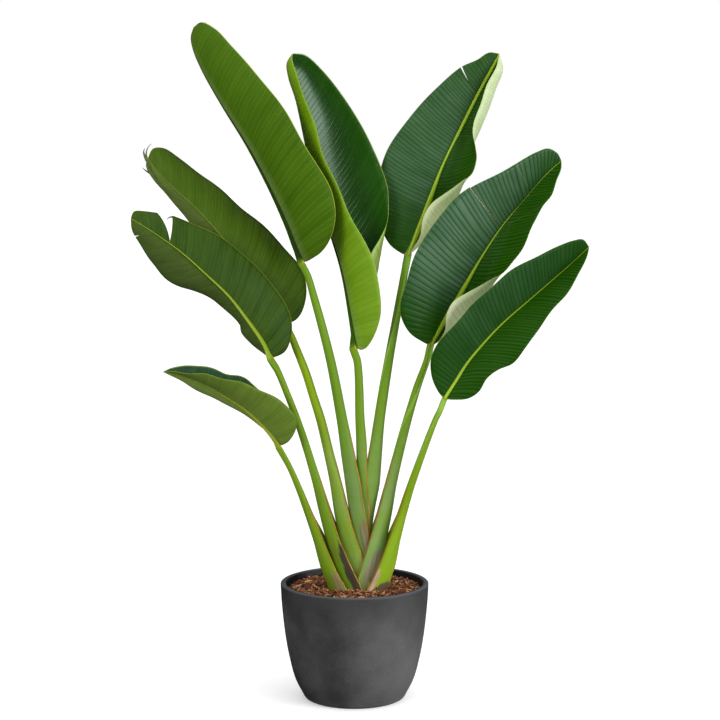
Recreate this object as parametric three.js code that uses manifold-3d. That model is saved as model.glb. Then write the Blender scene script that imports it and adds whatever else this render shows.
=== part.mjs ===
// A bird of paradise in a round planter: eight paddle leaves in one flat fan, on long clasping stalks.
// Millimetres, +Z up. The origin is the centre of the planter's foot, +X is right and -Y is the front.

import * as THREE from "three";
import Module from "manifold-3d";
import { mergeVertices } from "three/addons/utils/BufferGeometryUtils.js";

const wasm = await Module();
wasm.setup();

// Planter and soil. WALL_CURVE is the outside of the wall from the foot to the rim, as [radius, height].
const RIM_RADIUS = 150;
const POT_HEIGHT = 237;
const FOOT_RADIUS = 95;
const FOOT_BEVEL = [101, 2];
const WALL_CURVE = [[104, 6], [121, 40], [134, 90], [142.5, 142], [148, 197], [150, 234]];
const WALL = 11;
const FLOOR = 14;
const FLOOR_CORNER = [22, 12, 4];
const RIM_ROUNDING = 3;
const RIM_BEVEL = 1;
const WALL_STEPS = 7;
const SIDES = 32;
const SOIL_EDGE_HEIGHT = 222;
const SOIL_MOUND = 6;
const SOIL_RINGS = 4;
const SOIL_ROUGHNESS = 1.6;
const CHIP_COUNT = 64;
const CHIP_SEED = 7;
const GOLDEN_ANGLE = Math.PI * (3 - Math.sqrt(5));

// Where pieces meet, they stay this far apart.
const CLEARANCE = 0.3;

// Leaf blades
const BLADE_THICKNESS = 1;
const CELLS_ALONG = 20;
const CELLS_ACROSS_HALF = 4;
const BASE_INSET = 0.03;
const TIP_INSET = 0.008;
const VEIN_LEAD = 0.85;
const VEIN_SWEEP = 0.04;
const WAVE_HEIGHT = 2.5;
const WAVES = 4.5;
const LIP_REACH = 0.2;

// Stalks
const CROWN_Y = -15;
const ROOT_Z = 150;
const SOIL_LINE_Z = 223;
const STALK_RINGS = 13;
const RING_STEPS = 6;
const SHEATH_ANGLE = Math.PI / 2;
const ROUND_ANGLE = 2.2;
const ROUND_THICKNESS = 0.9;
const GROOVE_SHARE = 0.12;
const TIP_SHARE = 0.14;
const FOLD_ROOM = 3;

// The leaves, from left to right as seen from the front. Points are [x, y, z].
// rib is the midrib from the blade's base to its tip. left and right are the margins as seen on the
// upper side with the tip up, and leftMid or rightMid is the line halfway out on a half that curls.
// arch is how far each half bulges to the under side, as a share of its width.
// slits have their place along the blade, the share of the half's width where they end, how far each lip
// has moved away along the margin (less than 0 where it leans over the slit), and how much of the corner on
// the tip side is rounded off.
// stalk rows are [x, y, z, width], from the soil up; toward is +1 where the fan's centre is to the right.
// depth is half of the sheath's depth where it leaves the soil, and closed is the height at which the
// sheath has become a petiole.
const LEAVES = [
  {
    rib: [
      [-145, -75, 527], [-170, -78, 557], [-206, -81, 594], [-249, -82, 624],
      [-294, -82, 650], [-335, -81, 667], [-376, -80, 675],
    ],
    left: [
      [-129, -84, 538], [-115, -92, 563], [-116, -98, 590], [-136, -106, 614], [-172, -114, 639],
      [-220, -120, 658], [-281, -118, 673], [-327, -106, 676], [-357, -90, 677],
    ],
    right: [
      [-140, -56, 548], [-140, -46, 579], [-164, -42, 616], [-199, -40, 642], [-225, -40, 662],
      [-259, -42, 668], [-298, -46, 683], [-338, -58, 684], [-363, -70, 681],
    ],
    rightMid: [
      [-151, -66, 545], [-180, -60, 567], [-210, -58, 589], [-264, -56, 617], [-312, -60, 638],
      [-344, -68, 658],
    ],
    arch: { left: 0.08, right: 0 },
    ribWidth: 8,
    toward: 1,
    depth: 38,
    closed: 385,
    stalk: [
      [-31, -15, 223, 43], [-52, -19, 272, 34], [-71, -28, 328, 24], [-90, -42, 380, 17],
      [-108, -52, 431, 15], [-128, -64, 481, 12.5],
    ],
    green: "#57672b",
  },
  {
    rib: [
      [-165, -52, 698], [-179, -58, 730], [-211, -66, 778], [-246, -73, 824], [-292, -79, 869],
      [-336, -82, 909], [-377, -82, 939], [-414, -78, 963], [-436, -74, 976],
    ],
    left: [
      [-139, -49, 710], [-127, -46, 732], [-124, -42, 768], [-139, -38, 809], [-171, -36, 854],
      [-212, -38, 896], [-251, -42, 930], [-299, -48, 956], [-344, -54, 976], [-380, -60, 986],
      [-409, -65, 990], [-430, -70, 989],
    ],
    right: [
      [-176, -34, 703], [-207, -8, 724], [-227, 0, 744], [-231, 2, 761], [-247, 2, 783],
      [-278, -2, 808], [-322, -8, 830], [-376, -20, 853], [-398, -32, 886], [-420, -48, 920],
      [-435, -62, 952],
    ],
    arch: { left: 0.07, right: 0.1 },
    slits: [
      { half: "left", at: 0.776, from: 0.08, baseLip: -0.018, tipLip: 0.085, corner: 0.08 },
      { half: "right", at: 0.89, from: 0.62, baseLip: 0.004, tipLip: 0.004, corner: 0 },
    ],
    ribWidth: 10,
    toward: 1,
    depth: 32,
    closed: 430,
    stalk: [
      [-4, -15, 223, 46], [-21, -17, 269, 40], [-39, -21, 319, 32], [-59, -26, 385, 25],
      [-76, -30, 449, 20], [-95, -34, 514, 17], [-114, -38, 573, 15.5], [-132, -42, 622, 14.5],
      [-152, -47, 671, 14],
    ],
    green: "#374a1e",
  },
  {
    rib: [
      [-143, 5, 767], [-170, -2, 812], [-213, -8, 874], [-262, -12, 936], [-310, -14, 990],
      [-361, -14, 1037], [-394, -12, 1072], [-408, -10, 1092],
    ],
    left: [
      [-124, 14, 765], [-107, 26, 781], [-97, 38, 821], [-106, 48, 866], [-140, 55, 910], [-188, 58, 958],
      [-257, 56, 1017], [-309, 48, 1060], [-350, 36, 1090], [-379, 18, 1111], [-399, 0, 1110],
    ],
    right: [
      [-156, 24, 768], [-182, 46, 781], [-216, 60, 817], [-268, 64, 890], [-312, 62, 940],
      [-349, 58, 979], [-375, 46, 1018], [-400, 28, 1045], [-413, 5, 1076],
    ],
    arch: { left: 0.1, right: 0.08 },
    ribWidth: 10,
    toward: 1,
    depth: 25,
    closed: 450,
    stalk: [
      [17, -15, 223, 44], [-3, -15, 295, 40], [-22, -14, 364, 32], [-39, -12, 448, 25],
      [-53, -10, 508, 22], [-68, -8, 569, 20], [-83, -5, 617, 18.5], [-98, -3, 665, 18],
      [-117, 1, 713, 17], [-127, 3, 737, 15],
    ],
    green: "#48631c",
  },
  {
    rib: [
      [-100, -28, 886], [-113, -31, 915], [-132, -34, 963], [-169, -38, 1042], [-210, -40, 1118],
      [-259, -38, 1196], [-298, -32, 1264], [-315, -25, 1304], [-319, -20, 1328],
      [-313, -17, 1348],
    ],
    left: [
      [-84, -45, 895], [-63, -62, 911], [-46, -76, 938], [-36, -86, 981], [-43, -92, 1026],
      [-72, -94, 1080], [-111, -92, 1145], [-151, -86, 1210], [-197, -76, 1263], [-239, -58, 1311],
      [-270, -38, 1342], [-299, -23, 1356],
    ],
    right: [
      [-101, 0, 898], [-103, 28, 920], [-110, 48, 951], [-130, 62, 1007], [-170, 70, 1087],
      [-218, 68, 1171], [-265, 55, 1246], [-298, 25, 1304], [-310, 0, 1331],
    ],
    arch: { left: 0.12, right: 0.08 },
    ribWidth: 10,
    toward: 1,
    depth: 21,
    closed: 510,
    stalk: [
      [32, -15, 223, 34], [12, -16, 338, 34], [-3, -17, 441, 32], [-14, -18, 506, 29],
      [-25, -19, 571, 24], [-48, -22, 692, 20], [-79, -25, 812, 17], [-96, -28, 868, 14],
    ],
    green: "#47691a",
  },
  {
    rib: [
      [5, -8, 710], [-8, 2, 786], [-25, 12, 869], [-57, 20, 972], [-94, 22, 1103],
      [-114, 18, 1200], [-130, 12, 1249], [-133, 6, 1278], [-121, 2, 1297],
    ],
    left: [
      [21, -18, 714], [39, -38, 742], [52, -56, 787], [52, -64, 823], [42, -70, 875],
      [17, -74, 937], [-22, -74, 1011], [-57, -70, 1095], [-88, -60, 1186], [-110, -42, 1248],
      [-122, -18, 1283],
    ],
    right: [
      [7, -2, 734], [11, -8, 790], [19, -14, 855], [33, -14, 903], [51, -4, 934], [65, 8, 965],
      [68, 18, 1000], [65, 24, 1038], [37, 32, 1111], [-13, 34, 1200], [-64, 24, 1265],
      [-97, 10, 1294],
    ],
    rightMid: [
      [11, 10, 732], [29, 22, 797], [43, 28, 867], [35, 32, 935], [7, 40, 997], [-27, 50, 1107],
      [-63, 44, 1197], [-100, 26, 1265],
    ],
    arch: { left: 0.1, right: 0 },
    ribWidth: 8,
    toward: 1,
    depth: 13,
    closed: 480,
    stalk: [
      [25, -15, 223, 28], [16, -14, 428, 23], [14, -13, 519, 24], [11, -12, 570, 21],
      [5, -9, 690, 17],
    ],
    green: "#2c5f12",
  },
  {
    rib: [
      [107, 30, 896], [119, 36, 928], [140, 46, 984], [171, 55, 1063], [206, 58, 1139],
      [245, 55, 1219], [272, 46, 1270], [288, 40, 1298],
    ],
    left: [
      [94, 36, 901], [71, 46, 918], [55, 54, 948], [46, 60, 997], [49, 60, 1051], [65, 58, 1106],
      [104, 54, 1164], [156, 50, 1223], [210, 44, 1270], [244, 40, 1286], [267, 40, 1300],
    ],
    right: [
      [119, 16, 915], [130, 4, 937], [136, -4, 971], [152, -6, 999], [179, -6, 1023],
      [210, 0, 1044], [234, 8, 1059], [242, 14, 1088], [239, 16, 1115], [236, 18, 1139],
      [243, 20, 1180], [261, 26, 1230], [281, 32, 1271],
    ],
    rightMid: [
      [128, 38, 913], [164, 50, 945], [190, 56, 985], [208, 58, 1023], [214, 58, 1063],
      [226, 56, 1107], [249, 52, 1143], [265, 48, 1182], [282, 46, 1228], [295, 42, 1266],
    ],
    arch: { left: -0.05, right: 0 },
    slits: [
      { half: "left", at: 0.81, from: 0.5, baseLip: -0.012, tipLip: 0.019, corner: 0 },
    ],
    ribWidth: 10,
    toward: -1,
    depth: 17,
    closed: 510,
    stalk: [
      [9, -15, 223, 28], [23, -10, 374, 32], [34, -7, 439, 34], [42, -3, 503, 29],
      [50, 2, 568, 24], [69, 11, 688, 20], [85, 18, 778, 18], [102, 27, 875, 16],
    ],
    green: "#335422",
  },
  {
    rib: [
      [153, -14, 719], [177, -6, 769], [207, 2, 820], [250, 8, 891], [294, 10, 957],
      [337, 8, 1009], [380, 0, 1060], [409, -8, 1087],
    ],
    left: [
      [137, -20, 727], [110, -26, 746], [93, -32, 777], [91, -36, 807], [102, -40, 845],
      [117, -43, 900], [149, -45, 952], [192, -44, 1010], [224, -42, 1033], [260, -40, 1052],
      [317, -34, 1081], [359, -26, 1104], [381, -20, 1111], [400, -14, 1102],
    ],
    right: [
      [168, -30, 731], [179, -40, 754], [181, -48, 782], [194, -52, 808], [222, -50, 828],
      [258, -44, 849], [295, -36, 866], [316, -38, 894], [335, -46, 924], [352, -50, 962],
      [368, -48, 998], [389, -40, 1021], [399, -28, 1050], [408, -16, 1072],
    ],
    rightMid: [
      [181, -6, 738], [223, 4, 773], [253, 8, 807], [273, 10, 841], [286, 8, 881], [308, 2, 925],
      [333, -4, 973], [367, -8, 1021], [395, -10, 1059],
    ],
    arch: { left: -0.05, right: 0 },
    slits: [
      { half: "left", at: 0.614, from: 0.1, baseLip: 0.015, tipLip: -0.012, corner: 0 },
    ],
    ribWidth: 9,
    toward: -1,
    depth: 28.5,
    closed: 450,
    stalk: [
      [22, -15, 223, 60], [32, -15, 258, 52], [49, -15, 336, 36], [59, -15, 375, 31],
      [73, -15, 440, 25], [89, -15, 505, 22], [106, -15, 570, 19], [125, -15, 636, 17],
      [144, -14, 691, 14],
    ],
    green: "#446144",
  },
  {
    rib: [
      [177, -65, 619], [201, -60, 656], [226, -55, 694], [283, -50, 759], [356, -50, 824],
      [427, -60, 888], [459, -72, 920],
    ],
    left: [
      [164, -70, 636], [152, -76, 664], [150, -82, 699], [164, -88, 733], [208, -94, 784],
      [275, -96, 852], [331, -94, 891], [395, -88, 921], [426, -82, 933], [446, -78, 935],
    ],
    right: [
      [196, -68, 618], [224, -72, 621], [245, -76, 635], [261, -78, 661], [283, -80, 679],
      [311, -80, 692], [336, -82, 722], [373, -84, 778], [415, -86, 830], [442, -84, 875],
      [455, -78, 904],
    ],
    arch: { left: -0.05, right: -0.05 },
    ribWidth: 9,
    toward: -1,
    depth: 35,
    closed: 400,
    stalk: [
      [44, -15, 223, 47], [64, -19, 277, 38], [78, -25, 326, 28], [94, -33, 378, 20],
      [114, -42, 445, 17], [160, -58, 576, 13], [169, -62, 596, 13],
    ],
    green: "#22440b",
  },
];

// Leaf numbers from the innermost sheath to the outermost, as they clasp each other.
const CLASPING = [5, 6, 4, 3, 7, 2, 8, 1];

const vector = (point) => new THREE.Vector3(...point);
const mix = THREE.MathUtils.lerp;
const smooth = THREE.MathUtils.smoothstep;

function curveThrough(points) {
  return new THREE.CatmullRomCurve3(points.map(vector), false, "centripetal");
}

function seededRandom(seed) {
  let state = seed;
  return () => {
    state = (state * 1664525 + 1013904223) % 4294967296;
    return state / 4294967296;
  };
}

// Closed meshes from vertices and triangles

function geometryOf(vertices, triangles) {
  const geometry = new THREE.BufferGeometry();
  geometry.setAttribute("position", new THREE.Float32BufferAttribute(vertices.flatMap((v) => v.toArray()), 3));
  geometry.setIndex(triangles.flat());
  return geometry;
}

function solidOf(geometry) {
  const bare = geometry.clone();
  bare.deleteAttribute("normal");
  bare.deleteAttribute("uv");
  const merged = mergeVertices(bare, 1e-4);
  const vertProperties = new Float32Array(merged.getAttribute("position").array);
  const triVerts = new Uint32Array(merged.getIndex().array);
  const solid = new wasm.Manifold(new wasm.Mesh({ numProp: 3, vertProperties, triVerts }));
  if (solid.volume() > 0) return solid;
  for (let i = 0; i < triVerts.length; i += 3) {
    [triVerts[i], triVerts[i + 1]] = [triVerts[i + 1], triVerts[i]];
  }
  return new wasm.Manifold(new wasm.Mesh({ numProp: 3, vertProperties, triVerts }));
}

function largestBody(solid) {
  return solid.decompose().reduce((a, b) => (b.volume() > a.volume() ? b : a));
}

function geometryFromSolid(solid) {
  const mesh = solid.getMesh();
  const geometry = new THREE.BufferGeometry();
  geometry.setAttribute("position", new THREE.BufferAttribute(mesh.vertProperties, 3));
  geometry.setIndex(new THREE.BufferAttribute(mesh.triVerts, 1));
  return geometry;
}

// A closed skin over rings that each have the same number of points.
function loft(rings) {
  const count = rings[0].length;
  const vertices = rings.flat();
  const triangles = [];
  for (let r = 0; r + 1 < rings.length; r++) {
    for (let k = 0; k < count; k++) {
      const a = r * count + k;
      const b = r * count + ((k + 1) % count);
      triangles.push([a, b, b + count], [a, b + count, a + count]);
    }
  }
  for (const [ring, start] of [[rings[0], 0], [rings.at(-1), vertices.length - count]]) {
    const centre = ring.reduce((sum, p) => sum.add(p), new THREE.Vector3()).divideScalar(count);
    const middle = vertices.push(centre) - 1;
    for (let k = 0; k < count; k++) {
      const next = start + ((k + 1) % count);
      triangles.push(start === 0 ? [middle, next, start + k] : [middle, start + k, next]);
    }
  }
  return geometryOf(vertices, triangles);
}

// Blades

function bladeLines(leaf) {
  const base = leaf.rib[0];
  const tip = leaf.rib.at(-1);
  const lines = { rib: curveThrough(leaf.rib) };
  for (const half of ["left", "right"]) {
    lines[half] = curveThrough([base, ...leaf[half], tip]);
    const middle = leaf[half + "Mid"];
    if (middle) lines[half + "Mid"] = curveThrough([base, ...middle, tip]);
  }
  return lines;
}

// The point at share u along the blade and share v of the way from the midrib to the margin.
function bladePoint(leaf, lines, half, u, v) {
  const rib = lines.rib.getPointAt(u);
  const edge = lines[half].getPointAt(Math.pow(u, VEIN_LEAD));
  const along = lines.rib.getTangentAt(u);
  const across = edge.clone().sub(rib);
  const width = across.length();
  const up = new THREE.Vector3().crossVectors(along, across).normalize();
  if (half === "right") up.negate();
  let middle;
  if (lines[half + "Mid"]) {
    middle = lines[half + "Mid"].getPointAt(Math.pow(u, (1 + VEIN_LEAD) / 2));
  } else {
    middle = rib.clone().lerp(edge, 0.5).addScaledVector(up, -leaf.arch[half] * width);
  }
  middle.addScaledVector(along, -VEIN_SWEEP * width * Math.sin(Math.PI * u));
  const wave = WAVE_HEIGHT * Math.sin(2 * Math.PI * (WAVES * u + (half === "left" ? 0 : 0.4)));
  return new THREE.Vector3()
    .addScaledVector(rib, (1 - v) * (1 - 2 * v))
    .addScaledVector(middle, 4 * v * (1 - v))
    .addScaledVector(edge, v * (2 * v - 1))
    .addScaledVector(up, wave * v * v * Math.sin(Math.PI * u));
}

// Places along the blade, closer together at its ends, with one at each slit.
function placesAlong(leaf) {
  const places = [];
  for (let i = 0; i <= CELLS_ALONG; i++) {
    const t = i / CELLS_ALONG;
    const eased = 0.5 - 0.5 * Math.cos(Math.PI * t);
    places.push(mix(BASE_INSET, 1 - TIP_INSET, mix(t, eased, 0.55)));
  }
  for (const slit of leaf.slits ?? []) {
    const nearest = places.reduce((a, b) => (Math.abs(b - slit.at) < Math.abs(a - slit.at) ? b : a));
    places[places.indexOf(nearest)] = slit.at;
  }
  return places;
}

// Where a point of a half lies once its slits are open. after is true on the tip side of a place.
function openedPlace(slits, u, v, after) {
  let [along, across] = [u, v];
  for (const slit of slits) {
    const open = THREE.MathUtils.clamp((v - slit.from) / (1 - slit.from), 0, 1);
    const beyond = u > slit.at || (u === slit.at && after);
    const near = open * (1 - smooth(Math.abs(u - slit.at), 0, LIP_REACH));
    along += near * (beyond ? slit.tipLip : -slit.baseLip);
    if (beyond) across *= 1 - slit.corner * near * 0.5;
  }
  return [along, across];
}

// The blade's middle surface. columns holds, for each place along, the vertex numbers on the sides
// towards the base and towards the tip, which differ only along a slit.
function bladeSheet(leaf) {
  const lines = bladeLines(leaf);
  const places = placesAlong(leaf);
  const vertices = [];
  const triangles = [];
  const ribRow = places.map((u) => vertices.push(lines.rib.getPointAt(u)) - 1);
  const firstOut = {};
  for (const half of ["left", "right"]) {
    const slits = (leaf.slits ?? []).filter((slit) => slit.half === half);
    const place = (u, v, after) => vertices.push(bladePoint(leaf, lines, half, ...openedPlace(slits, u, v, after))) - 1;
    const columns = places.map((u, i) => {
      const slit = slits.find((s) => s.at === u);
      const before = [ribRow[i]];
      const after = [ribRow[i]];
      for (let j = 1; j <= CELLS_ACROSS_HALF; j++) {
        const v = j / CELLS_ACROSS_HALF;
        const first = place(u, v, false);
        before.push(first);
        after.push(slit && v > slit.from ? place(u, v, true) : first);
      }
      return { before, after };
    });
    firstOut[half] = columns.map((column) => column.before[1]);
    for (let i = 0; i < CELLS_ALONG; i++) {
      for (let j = 0; j < CELLS_ACROSS_HALF; j++) {
        const near = columns[i].after;
        const far = columns[i + 1].before;
        const corners = [near[j], near[j + 1], far[j + 1], far[j]];
        if (half === "left") corners.reverse();
        triangles.push([corners[0], corners[1], corners[2]], [corners[0], corners[2], corners[3]]);
      }
    }
  }
  return { vertices, triangles, ribRow, firstOut };
}

function sheetNormals(sheet) {
  const normals = sheet.vertices.map(() => new THREE.Vector3());
  for (const [a, b, c] of sheet.triangles) {
    const ab = sheet.vertices[b].clone().sub(sheet.vertices[a]);
    const ac = sheet.vertices[c].clone().sub(sheet.vertices[a]);
    const face = ab.cross(ac);
    for (const k of [a, b, c]) normals[k].add(face);
  }
  return normals.map((n) => n.normalize());
}

// A sheet given its thickness, with both faces split alike and its open edges closed.
function thickened(sheet, normals) {
  const count = sheet.vertices.length;
  const offset = (sign) => (v, i) => v.clone().addScaledVector(normals[i], (sign * BLADE_THICKNESS) / 2);
  const vertices = [...sheet.vertices.map(offset(1)), ...sheet.vertices.map(offset(-1))];
  const triangles = [];
  const edges = new Map();
  for (const [a, b, c] of sheet.triangles) {
    triangles.push([a, b, c], [a + count, c + count, b + count]);
    for (const [from, to] of [[a, b], [b, c], [c, a]]) {
      if (!edges.delete(to + "," + from)) edges.set(from + "," + to, [from, to]);
    }
  }
  for (const [from, to] of edges.values()) {
    triangles.push([from, from + count, to + count], [from, to + count, to]);
  }
  return geometryOf(vertices, triangles);
}

// Stalks

// One ring: an arc round the under side, from one edge of the upper side to the other, and a point
// in the groove between them. toLeft and toRight reach from the upper side's middle to its edges.
function stalkRing(upper, toLeft, toRight, under, thickness, angle, groove) {
  const rise = thickness / (1 - Math.cos(angle));
  const ring = [];
  for (let k = 0; k <= RING_STEPS; k++) {
    const turn = -angle + (2 * angle * k) / RING_STEPS;
    const side = turn < 0 ? toRight : toLeft;
    ring.push(
      upper
        .clone()
        .addScaledVector(side, Math.abs(Math.sin(turn)) / Math.sin(angle))
        .addScaledVector(under, rise * (Math.cos(turn) - Math.cos(angle))),
    );
  }
  ring.push(upper.clone().addScaledVector(under, groove));
  return ring;
}

function widthAt(leaf, z) {
  const rows = leaf.stalk;
  const next = rows.findIndex((row) => row[2] > z);
  if (next === 0) return rows[0][3];
  if (next < 0) return rows.at(-1)[3];
  const [low, high] = [rows[next - 1], rows[next]];
  return mix(low[3], high[3], (z - low[2]) / (high[2] - low[2]));
}

// Rings from the root up to the blade. grow is how much larger each ring is made all round.
function petioleRings(leaf, baseOfBlade, bladeUp, grow) {
  const foot = leaf.stalk[0];
  const top = baseOfBlade.clone().addScaledVector(bladeUp, -widthAt(leaf, Infinity) / 2);
  const path = curveThrough([
    [foot[0], CROWN_Y, ROOT_Z - grow],
    ...leaf.stalk.map((row) => row.slice(0, 3)),
    top.toArray(),
  ]);
  const rings = [];
  for (let i = 0; i < STALK_RINGS; i++) {
    const t = i / STALK_RINGS;
    const centre = path.getPointAt(t);
    const along = path.getTangentAt(t);
    const z = centre.z;
    const free = smooth(z, leaf.closed - 100, leaf.closed + 60);
    const turned = smooth(z, leaf.closed, baseOfBlade.z - 10);
    const upper = new THREE.Vector3(leaf.toward, 0, 0).lerp(bladeUp, turned).normalize();
    upper.addScaledVector(along, -upper.dot(along) * free).normalize();
    const toLeft = new THREE.Vector3().crossVectors(upper, along).normalize();
    const thickness = widthAt(leaf, z) * mix(1, ROUND_THICKNESS, free);
    const sheath = 1 - smooth(z, SOIL_LINE_Z, leaf.closed);
    const halfWidth = mix(thickness / 2, leaf.depth, sheath) + grow;
    const angle = mix(SHEATH_ANGLE, ROUND_ANGLE, free * (1 - turned));
    toLeft.multiplyScalar(halfWidth * Math.sin(angle));
    const face = centre.clone().addScaledVector(upper, thickness / 2 + grow);
    const groove = grow > 0 ? 0 : GROOVE_SHARE * thickness * free;
    const under = upper.clone().negate();
    rings.push(stalkRing(face, toLeft, toLeft.clone().negate(), under, thickness + 2 * grow, angle, groove));
  }
  return rings;
}

// Rings of the midrib, which lies against the under side of the blade and thins towards the tip.
// Where the blade is folded at the midrib, the ring's upper side is folded with it. The blade's last
// row is only its tip and has no fold of its own, so the midrib's end has that of the row before.
function midribRings(leaf, sheet, normals) {
  return sheet.ribRow.map((rib, i) => {
    const share = 1 - (1 - TIP_SHARE) * Math.pow(i / CELLS_ALONG, 0.8);
    const row = Math.min(i, CELLS_ALONG - 1);
    const middle = sheet.vertices[rib];
    const upward = normals[sheet.ribRow[row]];
    const under = upward.clone().negate();
    const fold = ["left", "right"].map((half) => upward.dot(normals[sheet.firstOut[half][row]]));
    const apart = (BLADE_THICKNESS / 2 + CLEARANCE) / Math.pow(Math.min(...fold), FOLD_ROOM);
    const reach = (half) => {
      const neighbour = sheet.firstOut[half][row];
      const out = sheet.vertices[neighbour].clone().sub(sheet.vertices[sheet.ribRow[row]]);
      const part = Math.min((leaf.ribWidth * share) / 2 / out.length(), 0.9);
      const turn = upward.clone().sub(normals[neighbour]);
      return out.multiplyScalar(part).addScaledVector(turn, apart * part);
    };
    const upper = middle.clone().addScaledVector(under, apart);
    const thickness = leaf.ribWidth * share;
    return stalkRing(upper, reach("left"), reach("right"), under, thickness, SHEATH_ANGLE, 0);
  });
}

// Pot and soil

const profilePoint = (radius, height) => new THREE.Vector2(radius, height);

function outerWall() {
  return new THREE.SplineCurve(WALL_CURVE.map((row) => profilePoint(...row))).getPoints(WALL_STEPS);
}

function turned(profile) {
  const geometry = new THREE.LatheGeometry(profile, SIDES);
  geometry.rotateX(Math.PI / 2);
  return geometry;
}

// The inside of the pot from the middle of the floor up to the rim, for a piece that stays this far off.
function inside(apart) {
  const [flatEnd, cornerRun, cornerRise] = FLOOR_CORNER;
  const wall = outerWall()
    .filter((p) => p.y > 2 * FLOOR)
    .map((p) => profilePoint(p.x - WALL - apart, p.y));
  return [
    profilePoint(0, FLOOR + apart),
    profilePoint(wall[0].x - flatEnd, FLOOR + apart),
    profilePoint(wall[0].x - cornerRun, FLOOR + cornerRise + apart),
    ...wall,
  ];
}

function potProfile() {
  return [
    profilePoint(0, 0),
    profilePoint(FOOT_RADIUS, 0),
    profilePoint(...FOOT_BEVEL),
    ...outerWall(),
    profilePoint(RIM_RADIUS - RIM_BEVEL, POT_HEIGHT - RIM_BEVEL),
    profilePoint(RIM_RADIUS - RIM_ROUNDING, POT_HEIGHT),
    profilePoint(RIM_RADIUS - WALL + RIM_ROUNDING, POT_HEIGHT),
    profilePoint(RIM_RADIUS - WALL + RIM_BEVEL, POT_HEIGHT - RIM_BEVEL),
    ...inside(0).reverse(),
  ];
}

// The soil's height, a low mound with a rough top.
function soilHeight(x, y) {
  const out = Math.hypot(x, y) / RIM_RADIUS;
  const rough = Math.sin(x * 0.19 + 1.3 * Math.sin(y * 0.11)) + Math.sin(y * 0.23 + 1.7 * Math.sin(x * 0.13));
  return SOIL_EDGE_HEIGHT + SOIL_MOUND * (1 - out * out) + SOIL_ROUGHNESS * rough * 0.5;
}

// A plain block with the soil's top, wider than the pot's inside.
function soilBlock() {
  const rings = [];
  for (let k = SOIL_RINGS; k >= 0; k--) {
    rings.push(profilePoint((RIM_RADIUS * k) / SOIL_RINGS, SOIL_EDGE_HEIGHT));
  }
  const geometry = turned([profilePoint(0, 0), profilePoint(RIM_RADIUS, 0), ...rings]);
  const place = geometry.getAttribute("position");
  for (let i = 0; i < place.count; i++) {
    if (place.getZ(i) > 1) place.setZ(i, soilHeight(place.getX(i), place.getY(i)));
  }
  return solidOf(geometry);
}

// Bark and coir chips that lie on the soil: bent three-sided slivers, each sunk well in.
function chips() {
  const random = seededRandom(CHIP_SEED);
  const solids = [];
  for (let k = 0; k < CHIP_COUNT; k++) {
    const length = mix(14, 28, random());
    const chip = new THREE.CylinderGeometry(mix(2, 3.4, random()), mix(3, 4.4, random()), length, 3, 1);
    chip.rotateZ(Math.PI / 2);
    chip.rotateX(mix(-0.5, 0.5, random()));
    chip.rotateY(mix(-0.2, 0.2, random()));
    chip.rotateZ(mix(0, 2 * Math.PI, random()));
    const radius = (RIM_RADIUS - 22) * Math.sqrt(mix(0.14, 1, (k + 0.5) / CHIP_COUNT));
    const bearing = k * GOLDEN_ANGLE + mix(-0.2, 0.2, random());
    const x = radius * Math.cos(bearing);
    const y = radius * Math.sin(bearing);
    chip.translate(x, y, soilHeight(x, y) + mix(0, 1, random()));
    solids.push(solidOf(chip));
  }
  return solids;
}

// The whole plant in its pot

function addNode(group, name, geometry, color, roughness) {
  const mesh = new THREE.Mesh(geometry, new THREE.MeshStandardMaterial({ color, roughness, metalness: 0 }));
  mesh.name = name;
  group.add(mesh);
}

function buildPlant() {
  const group = new THREE.Group();
  const stalks = [];
  const spaces = [];
  for (const [index, leaf] of LEAVES.entries()) {
    const sheet = bladeSheet(leaf);
    const normals = sheetNormals(sheet);
    addNode(group, "blade_" + (index + 1), thickened(sheet, normals), leaf.green, 0.4);
    const base = sheet.vertices[sheet.ribRow[0]];
    const up = normals[sheet.ribRow[0]];
    const midrib = midribRings(leaf, sheet, normals);
    stalks.push(solidOf(loft([...petioleRings(leaf, base, up, 0), ...midrib])));
    spaces.push(solidOf(loft(petioleRings(leaf, base, up, CLEARANCE + 0.1))));
  }
  CLASPING.forEach((number, order) => {
    const inner = CLASPING.slice(0, order).map((n) => spaces[n - 1]);
    const whole = stalks[number - 1];
    const cut = inner.length ? whole.subtract(wasm.Manifold.union(inner)) : whole;
    addNode(group, "stalk_" + number, geometryFromSolid(largestBody(cut).simplify(0.02)), "#8aa83c", 0.5);
  });

  addNode(group, "pot", turned(potProfile()), "#4b4949", 0.8);
  const room = inside(CLEARANCE);
  room.push(profilePoint(room.at(-1).x, 2 * POT_HEIGHT), profilePoint(0, 2 * POT_HEIGHT));
  const soil = wasm.Manifold.union([soilBlock(), ...chips()])
    .intersect(solidOf(turned(room)))
    .subtract(wasm.Manifold.union(spaces));
  addNode(group, "soil", geometryFromSolid(largestBody(soil).simplify(0.06)), "#4b2d1c", 0.95);
  return group;
}

export default buildPlant();
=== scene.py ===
"""The looks of a bird of paradise in a round planter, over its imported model.

The scene is in metres. The plant's own sizes are in mm, as in its solids, and become metres in make_piece.
"""

import math

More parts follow.
